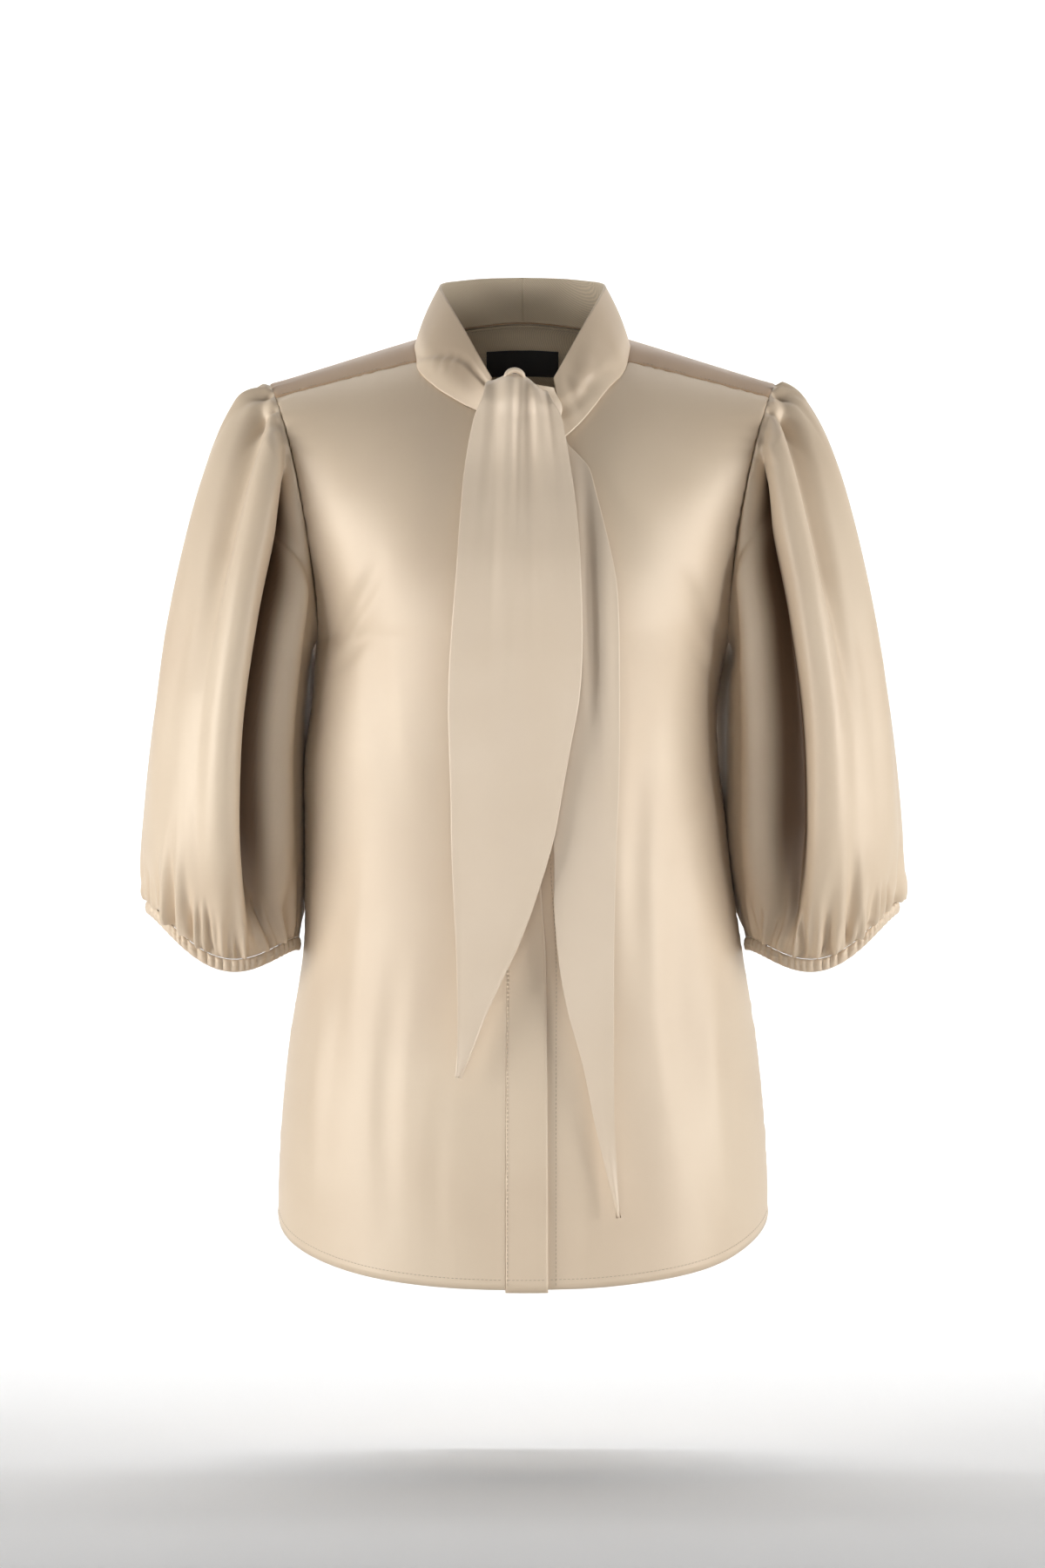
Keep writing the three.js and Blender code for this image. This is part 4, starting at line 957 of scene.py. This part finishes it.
@dataclass
class Sleeve:
    """Gathered sleeve with its ruched elastic cuff."""

    finishes: Wardrobe
    side: Side
    columns: int = 288
    rings: int = 130
    ruches: int = 30
    ruche_depth: float = 1.3
    cuff_height: float = 9.0
    rest_behind: float = 150.0
    rest_half: float = 30.0
    rest_from: float = 0.2
    rest_over: float = 0.79
    slack_at: float = 0.62

    def gathers(self, turn: Array, v: Array) -> Array:
        """Small gathers at the cap and above the cuff, uneven in depth and spacing.

        Args:
            turn: signed angle round the sleeve in degrees.
            v: place down the sleeve.

        Returns:
            Heights in millimetres.
        """
        a, sign = np.radians(turn), self.side.value
        reach = 0.16 + 0.10 * np.sin(11 * a + 1.5 * sign) + 0.05 * np.sin(29 * a)
        cap = smooth(v / 0.02) * (1 - smooth((v - 0.02) / np.maximum(reach, 0.05))) * bump(turn / 105)
        cap_wave = np.sin(24 * a + 0.9 * np.sin(3 * a + sign)) * (3.1 + 1.1 * np.sin(5 * a))
        cap_wave += 1.4 * np.sin(41 * a + 1.4 * np.sin(4 * a))
        rise = 0.5 + 0.5 * np.sin(7 * a + 2 * sign)
        low = smooth((v - 0.70 - 0.1 * rise) / 0.2) * (1 - smooth((v - 0.975) / 0.025))
        low_wave = np.sin(24 * a + 1.3 * np.sin(2 * a + sign)) * (3.3 + 1.5 * np.sin(4 * a + 2 * sign))
        fine = smooth((v - 0.88 + 0.06 * rise) / 0.08) * (1 - smooth((v - 0.985) / 0.015))
        fine_wave = np.sin(47 * a + 1.9 * np.sin(5 * a + sign)) * (1.8 + 0.8 * np.sin(11 * a))
        return cap * cap_wave + low * low_wave + fine * fine_wave

    def rest(self, turn: Array, v: Array) -> Array:
        """How far the sleeve leans in against the body, just behind the side seam."""
        apart = (turn + self.rest_behind + 540) % 360 - 180
        along = np.clip((v - self.rest_from) / self.rest_over, 0, 1)
        reach = 10.5 if self.side is Side.RIGHT else 14.0
        return reach * bump(apart / self.rest_half) * np.clip(1.8 * np.sin(np.pi * along), 0, 1)

    def surface(self, angle: Array, v: Array) -> tuple[Array, Array]:
        """Sleeve surface: loops through compass points, moved in and out by its folds and gathers.

        Args:
            angle: degrees round the sleeve.
            v: place down the sleeve.

        Returns:
            Points of the surface and the weight of painted shade at each, 0 to 1, highest deep in the
            troughs.
        """
        sign = self.side.value

        def row_at(place: Array) -> dict[str, Array]:
            """Columns of the sleeve's table at places down the sleeve."""
            row = {name: SLEEVE.read(name, place) for name in SLEEVE.names}
            row["x_in"] = row["x_in"] - 0.9 * bump((place - self.slack_at) / 0.42)
            if sign > 0:
                row["x_in"] = row["x_in"] - 11.5 * bump((place - self.slack_at) / 0.4)
            return row

        plain = FIGURE.compass(row_at(v), angle)
        around = FIGURE.compass(row_at(v), angle + 1) - FIGURE.compass(row_at(v), angle - 1)
        lower = np.minimum(1, v + 0.02)
        down = FIGURE.compass(row_at(lower), angle)
        down = down - FIGURE.compass(row_at(np.maximum(0, lower - 0.04)), angle)
        normal = unit(np.cross(around, down))
        turn = np.where(angle > 180, angle - 360, angle)
        folds = RIGHT_FOLDS if self.side is Side.RIGHT else LEFT_FOLDS
        depth = sum(fold.depth(turn, v) for fold in folds) * smooth(v / 0.1)
        depth = depth * (1 - smooth((v - 0.86) / 0.14)) + self.gathers(turn, v)
        # Painted shade: points deep in a trough get a darker colour, less of it towards the cuff.
        fold_shade = 0.95 * smooth((-depth - 5) / 15) * (1 - 0.4 * smooth((v - 0.66) / 0.3))
        inward = smooth((np.abs(turn) - 130) / 40)
        depth = np.where(depth > 0, depth * (1 - inward), depth * (1 - 0.7 * inward))
        depth = depth - 0.6 * np.exp(-((v / 0.006) ** 2))
        moved = plain + normal * depth[..., None]
        moved[..., 0] -= self.rest(turn, v)
        return moved * point(sign, 1.0, 1.0), fold_shade

    def sleeve(self) -> bpy.types.Object:
        """The sleeve, from the armhole seam to the cuff seam."""
        angle = np.linspace(0, 360, self.columns, endpoint=False)[None]
        v = (np.linspace(0, 1, self.rings) ** 1.15)[:, None]
        angle, v = np.broadcast_arrays(angle, v)
        grid, fold_shade = self.surface(angle, v)
        grid[0] += unit(grid[2] - grid[0]) * SEAM_HALF
        grid[-1, :, 2] += 0.3
        name = f"sleeve_{self.side.name.lower()}"
        cloth = Cloth(name + "_cloth", (name,), self.finishes.satin, "satin", reverse=self.finishes.inner)
        made = cloth.mesh(grid, (-self.side.value, 0, -1), closed=True, fold_shade=fold_shade)
        return made

    def cuff(self) -> bpy.types.Object:
        """Narrow elastic band whose cloth is drawn into fine upright ruches."""
        count = self.ruches * 20
        angle = np.linspace(0, 360, count, endpoint=False)[None]
        drop = np.linspace(0, 1, 12)[:, None]
        angle, drop = np.broadcast_arrays(angle, drop)
        row = {name: SLEEVE.read(name, 1.0) for name in SLEEVE.names}
        plain = FIGURE.compass(row, angle)
        away = unit((plain - np.array([214.0, FIGURE.side_y, 0.0])) * np.array([1.0, 1.0, 0.0]))
        swell = np.sin(np.pi * np.clip(drop, 0, 1)) ** 0.7
        a = np.radians(angle)
        phase = self.ruches * a + 0.8 * np.sin(7 * a) + 0.5 * np.sin(13 * a)
        ruche = np.abs(np.sin(phase)) ** 0.8 * 2 - 1
        ruche = ruche * self.ruche_depth * (0.75 + 0.25 * np.sin(5 * a + 1)) * (0.45 + 0.55 * swell)
        elastic = -0.35 * (bump((drop - 0.35) / 0.1) + bump((drop - 0.68) / 0.1))
        grid = plain + away * (swell * 0.9 + ruche + elastic)[..., None]
        grid[..., 2] -= drop * self.cuff_height
        grid = grid * point(self.side.value, 1.0, 1.0)
        name = f"cuff_{self.side.name.lower()}"
        made = Cloth(name + "_band", (name,), self.finishes.satin, "satin", wall=1.2).mesh(
            grid, (-self.side.value, 0, 0), closed=True)
        return made

    def build(self) -> list[bpy.types.Object]:
        """Make the sleeve and its cuff."""
        return [self.sleeve(), self.cuff()]


@dataclass
class Collar:
    """Folded tie collar, the knot and the two tie ends."""

    finishes: Wardrobe
    wall: float = 1.8
    tie_wall: float = 2.2
    knot_x: float = 3.4
    knot_y: float = -93.85
    knot_top: float = -33.0
    knot_bottom: float = -61.0

    def base(self, side: float, n: Array) -> Array:
        """Lower edge of the collar: on the neck seam, and off it where the left half runs to the knot."""
        seam = FIGURE.torso(*FIGURE.neck(side, n))
        if side > 0:
            seam = seam + point(*(COLLAR_DROP.read(name, n) for name in ("x", "y", "z")))
        return seam

    def half(self, side: Side) -> bpy.types.Object:
        """One half of the collar: a band from its sewn edge to its top fold, slightly rolled."""
        sign = side.value
        n = np.concatenate([np.linspace(0, 5, 90, endpoint=False), np.linspace(5, 9.6, 90)])[None]
        t = np.linspace(0, 1, 36)[:, None]
        base = self.base(sign, n[0])[None]
        top = point(sign * COLLAR_TOP.read("x", n[0]), COLLAR_TOP.read("y", n[0]),
                    COLLAR_TOP.read("z", n[0]))[None]
        start = base - unit(top - base) * 0.4
        band = start + (top - start) * t[..., None]
        away = unit(point(base[..., 0], base[..., 1] + 10, 30.0 + 0 * base[..., 0]))
        roll = 1.6 * np.sin(np.pi * t)
        slack = smooth((n - 5.2) / 3.0)
        if side is Side.RIGHT:
            fold = 0.6 * smooth((n - 4.7) / 3.4)
            crumple = 0.5 * np.sin(13 * n) * bump((t - fold) / 0.22) * bump((n - 6.9) / 1.1)
            crease = 1.5 * smooth((n - 4.7) / 0.8) * (1 - smooth((t - fold) / 0.10)) + crumple
            crease = crease - 0.5 * slack * bump((t - fold - 0.14) / 0.12)
        else:
            crease = 1.5 * slack * bump((t - 0.55 + 0.1 * (n - 8)) / 0.3) * bump((n - 7.6) / 1.8)
            crease = crease - 1.2 * slack * bump((t - 0.22 - 0.08 * (n - 7)) / 0.2)
            crease = crease + 0.5 * slack * np.sin(7.5 * n - 8.0 * t) * bump((t - 0.4) / 0.5)
        band = band + away * (roll + crease)[..., None]
        band[:, 0, 0] = -sign * 0.05
        wall = np.broadcast_to(np.where(t > 0.93, self.wall * 0.7, self.wall), band.shape[:2])
        # Painted shade on the collar's upper band, stronger on the right half, darkening its colour.
        painted_shade_peak = 0.34 if side is Side.RIGHT else 0.16
        fold_shade = painted_shade_peak * smooth((n - 2.5) / 2.5) * (1 - smooth((n - 8.0) / 1.5)) * smooth((t - 0.12) / 0.3)
        name = f"collar_{side.name.lower()}"
        cloth = Cloth(name + "_band", (name,), self.finishes.satin, "satin", reverse=self.finishes.inner)
        made = cloth.mesh(band, (sign, 0, 0.4), wall=wall, fold_shade=fold_shade)
        return made

    def tie_grid(self, rows: tuple[tuple[float, ...], ...], cells: int, down: int) -> dict[str, Array]:
        """Smooth table of a tie end: edges and depth as running curves from the knot to the point.

        Args:
            rows: height, left edge, right edge and depth of the front.
            cells: points across.
            down: points along.

        Returns:
            Arrays x, y, z, t, left and right on the grid.
        """
        table = np.array(rows, float)
        step = np.linalg.norm(np.diff(table[:, [0, 3]], axis=0), axis=1)
        run = np.concatenate([[0.0], np.cumsum(step)])
        rows_by_run = tuple(map(tuple, np.column_stack([run, table])))
        curve = Profile(("run", "z", "left", "right", "y"), rows_by_run)
        at = np.linspace(0, run[-1], down)
        t = np.linspace(0, 1, cells)[None]
        left, right = curve.read("left", at)[:, None], curve.read("right", at)[:, None]
        return {
            "x": mix(left, right, t),
            "y": curve.read("y", at)[:, None] + 0 * t,
            "z": curve.read("z", at)[:, None] + 0 * t,
            "t": t + 0 * left,
            "width": right - left + 0 * t,
            "run": at[:, None] + 0 * t,
        }

    def pillow(self, t: Array) -> Array:
        """Thickness of a folded band: full in the middle and rounded off at its two folds."""
        return self.tie_wall * np.clip(1 - np.abs(2 * t - 1) ** 10, 0.12, 1)

    def tie_over(self) -> bpy.types.Object:
        """Tie end that falls over the knot, with pleats fanning out of it and fading downwards."""
        pleats = ((-9, -17, 9, -3.2, -300), (2, 8, 7, 2.4, -260), (10, 24, 8, -2.6, -210),
                  (-19, -33, 7, 1.8, -200), (-3, -5, 3.5, 1.3, -150), (15, 30, 4, 1.0, -140))
        part = self.tie_grid(TIE_OVER, 90, 260)
        x, z, t = part["x"], part["z"], part["t"]
        front = smooth((part["run"] - 12) / 16)
        lift = -2.6 * (1 - (2 * t - 1) ** 2) * np.clip(part["width"] / 40, 0, 1) - 1.6
        for top, low, wide, deep, end in pleats:
            down = np.clip((z + 29) / (end + 29), 0, 1)
            lift = lift + deep * (1 - smooth(down)) * bump((x - mix(top, low, down)) / wide)
        soft = 0.8 * np.sin(z * 0.021 + x * 0.05) * smooth((-z - 120) / 100) * np.sin(np.pi * t)
        curl = -1.2 * (np.exp(-((t / 0.06) ** 2)) + np.exp(-(((1 - t) / 0.06) ** 2)))
        arch = 1 - smooth((part["run"] - 14) / 46)
        z = z - arch * (12 * smooth((t - 0.45) / 0.55) ** 1.5 + 5 * smooth((0.4 - t) / 0.4))
        grid = point(x, part["y"] + front * (lift + soft + 0.5 * curl), z)
        made = Cloth("tie_over_band", ("tie_over",), self.finishes.tie, "satin_tie").mesh(
            grid, (0, -1, 0), wall=self.pillow(t))
        return made

    def loop(self) -> bpy.types.Object:
        """Small rolled turn of cloth on the knot: a thin tube along half an oval."""
        turn = np.linspace(math.radians(215), math.radians(-40), 48)
        path = point(-5.6 + 6.2 * np.cos(turn), -98.5 - 3.0 * np.sin(turn / 2), -29.5 + 5.4 * np.sin(turn))
        ahead = unit(np.gradient(path, axis=0))
        aside = np.broadcast_to(np.array([0.0, 1.0, 0.0]), ahead.shape)
        up = unit(np.cross(aside, ahead))
        size = 0.5 + 1.5 * np.sin(np.linspace(0, np.pi, 48)) ** 0.6
        a = np.linspace(0, 2 * np.pi, 20, endpoint=False)
        ring = up[:, None] * np.cos(a)[None, :, None] + aside[:, None] * np.sin(a)[None, :, None] * 1.3
        grid = path[:, None] + ring * size[:, None, None]
        made = Cloth("tie_loop", (), self.finishes.tie, "satin_tie", wall=0.4).mesh(
            grid, tuple(ring[24, 10]), closed=True)
        return made

    def tie_under(self) -> bpy.types.Object:
        """Tie end that hangs behind, with its long soft fold beside the other end and a turn at its point."""
        part = self.tie_grid(TIE_UNDER, 70, 250)
        x, z, t = part["x"], part["z"], part["t"]
        opened = smooth((x - 42) / 20) * smooth((-z - 95) / 60) * (1 - smooth((-z - 330) / 120))
        lift = -0.9 * (1 - (2 * t - 1) ** 2) * np.clip(part["width"] / 40, 0, 1) - 1.6 * opened
        trough = 1.5 * bump((x - mix(44, 50, np.clip((-z - 100) / 200, 0, 1))) / 7) * bump((z + 190) / 150)
        ridge = -0.8 * bump((x - mix(57, 60, np.clip((-z - 100) / 200, 0, 1))) / 8) * bump((z + 200) / 170)
        seam = 0.35 * np.exp(-(((x - 63.8) * 0.8 + (z + 488.0) * 1.1) / 2.2) ** 2) * smooth((-z - 470) / 20)
        twist = -1.3 * smooth((-z - 540) / 50) * np.sin(np.pi * t) ** 2
        grid = point(x, part["y"] + lift + np.minimum(trough, 1.2) + ridge + seam + twist, z)
        made = Cloth("tie_under_band", ("tie_under",), self.finishes.tie, "satin_tie").mesh(
            grid, (0, -1, 0), wall=self.pillow(t))
        return made

    def knot(self) -> bpy.types.Object:
        """Turn of the tie round the other end: an oval ring, drawn in and creased at its middle."""
        t = np.linspace(0, 1, 40)[:, None]
        a = np.linspace(0, 2 * np.pi, 120, endpoint=False)[None]
        pinch = 1 - 0.1 * np.cos(2 * np.pi * t)
        crease = 0.5 * np.sin(9 * t + 2 * np.sin(a)) * np.sin(np.pi * t)
        x = self.knot_x + 21 * pinch * np.cos(a) + 3 * t
        y = self.knot_y + (5.4 + crease) * np.sin(a) - 2.5 * t + 1.2 * np.sin(np.pi * t)
        grid = point(x, y, mix(self.knot_top, self.knot_bottom, t) - 3 * np.cos(a))
        made = Cloth("tie_knot_band", ("tie_knot",), self.finishes.tie, "satin_tie").mesh(
            grid, (-1, 0, 0), closed=True, wall=1.8)
        return made

    def build(self) -> list[bpy.types.Object]:
        """Make the collar, the knot and the tie ends."""
        return [self.half(Side.RIGHT), self.half(Side.LEFT), self.knot(), self.tie_over(), self.loop(),
                self.tie_under()]


@dataclass
class NeckInside:
    """Strip sewn inside the back neck and the plain neck label on it."""

    finishes: Wardrobe
    strip_inset: float = 2.2
    label_inset: float = 3.9

    def layer(self, reach: float, start: float, end: float, inset: float, cells: int) -> tuple[Array, Array]:
        """Grid on the yoke's inner side, between two rows below the neck seam."""
        x = np.linspace(-reach, reach, cells)
        n = np.interp(np.abs(x), NECK.read("x", np.linspace(0, 4, 200)), np.linspace(0, 4, 200))
        seam = NECK.read("s", n)[:, None]
        s = seam - np.linspace(start, end, 20)[None]
        g = FIGURE.place_x(x[:, None], s)
        normal = FIGURE.outward(g, s)
        return FIGURE.torso(g, s) - normal * inset, normal

    def build(self) -> list[bpy.types.Object]:
        """Make the strip and the label."""
        grid, _ = self.layer(50, 0.5, 22, self.strip_inset, 90)
        cloth = Cloth("neck_facing_cloth", ("neck_facing",), self.finishes.inner, "inner_cloth", wall=0.8)
        strip = cloth.mesh(grid, (0, 1, 1))
        grid, normal = self.layer(26.5, 18, 30, self.label_inset, 60)
        t = np.linspace(0, 1, grid.shape[1])[None]
        across = np.abs(np.linspace(-1, 1, grid.shape[0]))[:, None]
        grid = grid - normal * (0.9 * smooth(t) * (0.4 + 0.6 * (1 - across**2)))[..., None]
        cloth = Cloth("label_cloth", ("label",), self.finishes.label, "label_cloth", wall=0.6)
        label = cloth.mesh(grid, (0, 1, 1))
        return [strip, label]


@dataclass
class Sewing:
    """All the visible rows of stitches."""

    finishes: Wardrobe
    hem_above: float = 7.0
    hem_end: float = 0.995
    closure_rows: tuple[tuple[float, bool], ...] = ((-10.6, False), (23.5, True))
    yoke_beside: float = 2.2
    yoke_front_from: float = 0.45
    yoke_end: float = 0.99
    neck_below: float = 2.4
    strip_rows: tuple[tuple[int, float], ...] = ((2, 1.1), (17, 0.0))

    @property
    def body(self) -> Body:
        """Body whose waves the stitches follow."""
        return Body(self.finishes)

    def hem_path(self, low: float, high: float, front: bool) -> tuple[Array, Array, float]:
        """Row of stitches a little above the hem, between two places across."""
        g = np.sin(np.linspace(np.arcsin(low), np.arcsin(high), 300))
        hem = FIGURE.hem(g)
        share = (hem + self.hem_above - FIGURE.underarm_z) / (hem - FIGURE.underarm_z)
        s = (180 + 100 * share) * (1 if front else -1)
        points, normal = FIGURE.torso(g, s), FIGURE.outward(g, s)
        return self.body.drape(points, normal), normal, 0.0

    def hem(self, rows: Stitching) -> bpy.types.Object:
        """Hem of both fronts, of the closure and of the back."""
        beside, closure_from, closure_to, left_from = (x / FIGURE.hem_half for x in (-13, -11, 17, 19))
        left_path, left_lift, _ = self.hem_path(left_from, self.hem_end, True)
        return rows.sew("hem_stitches", [
            self.hem_path(-self.hem_end, beside, True),
            (self.body.underlap(left_path), left_lift, 0.0),
            self.hem_path(closure_from, closure_to, True),
            self.hem_path(-self.hem_end, self.hem_end, False),
        ])

    def closure(self, rows: Stitching) -> bpy.types.Object:
        """Two long rows that hold the closure's band and the edge behind it."""
        s = np.concatenate([np.linspace(279.5, 180, 300), np.linspace(180, 74, 160)[1:]])
        z = FIGURE.torso(np.zeros_like(s), s)[:, 2]
        above = np.abs(FIGURE.armhole(1.0, np.minimum(s, 180))[:, 0])
        half = np.where(s > 180, BODY.read("half", z), above)
        paths = []
        for x, behind in self.closure_rows:
            points, normal = FIGURE.torso(x / half, s), FIGURE.outward(x / half, s)
            points = self.body.drape(points, normal)
            if behind:
                points = self.body.underlap(points)
            paths.append((points, normal, 0.0))
        return rows.sew("closure_stitches", paths)

    def yoke(self, rows: Stitching) -> bpy.types.Object:
        """Rows on the yoke, beside its two front seams and its back seam."""
        seams = [(np.linspace(self.yoke_front_from, self.yoke_end, 160) * side,
                  FIGURE.yoke_front - self.yoke_beside) for side in (-1.0, 1.0)]
        seams.append((np.linspace(-self.yoke_end, self.yoke_end, 400), FIGURE.yoke_back + self.yoke_beside))
        paths = []
        for g, row in seams:
            s = np.full_like(g, row)
            paths.append((FIGURE.torso(g, s), FIGURE.outward(g, s), 0.0))
        return rows.sew("yoke_stitches", paths)

    def neck(self, rows: Stitching) -> bpy.types.Object:
        """Row on the fronts along the neck seam, as far as the collar lies on it."""
        paths = []
        for side, last in ((-1.0, 10.2), (1.0, 7.2)):
            g, s = FIGURE.neck(side, np.linspace(5.15, last, 200))
            seam, normal = FIGURE.torso(g, s), FIGURE.outward(g, s)
            aside = unit(np.cross(normal, np.gradient(seam, axis=0))) * side
            seam = self.body.drape(seam, normal) - aside * self.neck_below
            paths.append((seam, normal, 0.0))
        return rows.sew("neck_stitches", paths)

    def neck_strip(self) -> bpy.types.Object:
        """Fine zigzag row and straight row on the strip inside the back neck."""
        inside = NeckInside(self.finishes)
        grid, normal = inside.layer(49, 0.5, 22, inside.strip_inset + 0.8, 200)
        fine = Stitching(self.finishes.thread, pitch=1.5, length=1.9, radius=0.16)
        return fine.sew("neck_strip_stitches", [
            (grid[:, row], -normal[:, row], zigzag) for row, zigzag in self.strip_rows])

    def build(self) -> list[bpy.types.Object]:
        """Sew the hem, the closure, the yoke, the neck and the inside of the back neck."""
        rows = Stitching(self.finishes.thread)
        return [self.hem(rows), self.closure(rows), self.yoke(rows), self.neck(rows), self.neck_strip()]


LAMPS = (
    ("left_box", (-3.3, -1.5, -0.6), (0, 0, -0.4), (2.4, 2.6), 200),
    ("right_box", (3.3, -1.4, -0.6), (0, 0, -0.4), (2.4, 2.6), 185),
    ("front_box", (-0.4, -5.8, -0.8), (0, 0, -0.4), (2.4, 1.4), 95),
    ("back_wash", (0, 0.9, 1.9), (0, 2.8, 0.3), (4.0, 1.0), 75),
)


@dataclass
class Studio:
    """Pale sweep, soft lights and the camera in front of the garment."""

    distance: float = 5.0
    centre_z: float = -0.315
    frame_height: float = 1.125
    sensor: float = 36.0
    floor_z: float = -0.80
    floor_from: float = -6.0
    bend_from: float = 1.6
    bend_radius: float = 1.2
    wall_height: float = 7.0
    half_width: float = 7.0
    paper: tuple[float, float, float, float] = (0.93, 0.93, 0.93, 1)

    def sweep(self) -> None:
        """Floor that runs back and curves up into a wall."""
        turn = np.linspace(0, np.pi / 2, 24)
        bend_y = self.bend_from + self.bend_radius * np.sin(turn)
        bend_z = self.bend_radius * (1 - np.cos(turn))
        y = np.concatenate([[self.floor_from], bend_y, bend_y[-1:]])
        z = np.concatenate([[0.0], bend_z, [self.wall_height]]) + self.floor_z
        x = np.array([-self.half_width, self.half_width])
        points = np.stack([np.repeat(x, len(y)), np.tile(y, 2), np.tile(z, 2)], axis=-1)
        k = np.arange(len(y) - 1)
        faces = np.stack([k, k + len(y), k + len(y) + 1, k + 1], axis=-1)
        data = bpy.data.meshes.new("studio_sweep")
        data.from_pydata(points.tolist(), [], faces.tolist())
        data.polygons.foreach_set("use_smooth", np.ones(len(faces), dtype=bool))
        made = bpy.data.objects.new("studio_sweep", data)
        bpy.context.scene.collection.objects.link(made)
        paper = bpy.data.materials.new("studio_paper")
        paper.use_nodes = True
        shader = paper.node_tree.nodes["Principled BSDF"]
        shader.inputs["Base Color"].default_value = self.paper
        shader.inputs["Roughness"].default_value = 0.9
        data.materials.append(paper)

    def light(self, name: str, place: tuple[float, float, float], aim: tuple[float, float, float],
              size: tuple[float, float], power: float) -> None:
        """Soft rectangular light."""
        data = bpy.data.lights.new(name, "AREA")
        data.shape = "RECTANGLE"
        data.size, data.size_y = size
        data.energy = power
        made = bpy.data.objects.new(name, data)
        made.location = place
        made.rotation_euler = (Vector(aim) - Vector(place)).to_track_quat("-Z", "Y").to_euler()
        bpy.context.scene.collection.objects.link(made)

    def room(self) -> bpy.types.World:
        """Surroundings that are pale from the sides and below and dark overhead."""
        world = bpy.data.worlds.new("studio")
        world.use_nodes = True
        nodes, links = world.node_tree.nodes, world.node_tree.links
        place = nodes.new("ShaderNodeTexCoord")
        parts = nodes.new("ShaderNodeSeparateXYZ")
        links.new(place.outputs["Generated"], parts.inputs["Vector"])
        fall = nodes.new("ShaderNodeMapRange")
        fall.interpolation_type = "SMOOTHSTEP"
        fall.inputs["From Min"].default_value = -0.25
        fall.inputs["From Max"].default_value = 0.75
        fall.inputs["To Min"].default_value = 0.60
        fall.inputs["To Max"].default_value = 0.07
        links.new(parts.outputs["Z"], fall.inputs["Value"])
        links.new(fall.outputs["Result"], nodes["Background"].inputs["Strength"])
        return world

    def build(self) -> None:
        """Set the world, the lights and the camera."""
        scene = bpy.context.scene
        scene.view_settings.view_transform = "Standard"
        scene.world = self.room()
        self.sweep()
        for lamp in LAMPS:
            self.light(*lamp)
        data = bpy.data.cameras.new("camera")
        data.sensor_fit = "VERTICAL"
        data.sensor_height = self.sensor
        data.lens = self.sensor * self.distance / self.frame_height
        data.clip_end = 50.0
        camera = bpy.data.objects.new("camera", data)
        camera.location = (0, -self.distance, self.centre_z)
        camera.rotation_euler = (math.pi / 2, 0, 0)
        scene.collection.objects.link(camera)
        scene.camera = camera


def main() -> None:
    """Build the garment piece by piece, then the studio."""
    logging.basicConfig(level=logging.INFO, format="%(name)s %(message)s")
    finishes = Wardrobe()
    made: list[bpy.types.Object] = []
    for part in (Body(finishes), Sleeve(finishes, Side.RIGHT), Sleeve(finishes, Side.LEFT), Collar(finishes),
                 NeckInside(finishes), Sewing(finishes)):
        pieces = part.build()
        LOG.info("%s made %s", type(part).__name__, ", ".join(piece.name for piece in pieces))
        made.extend(pieces)
    Studio().build()
    LOG.info("%d pieces", len(made))


if __name__ == "__main__":
    main()
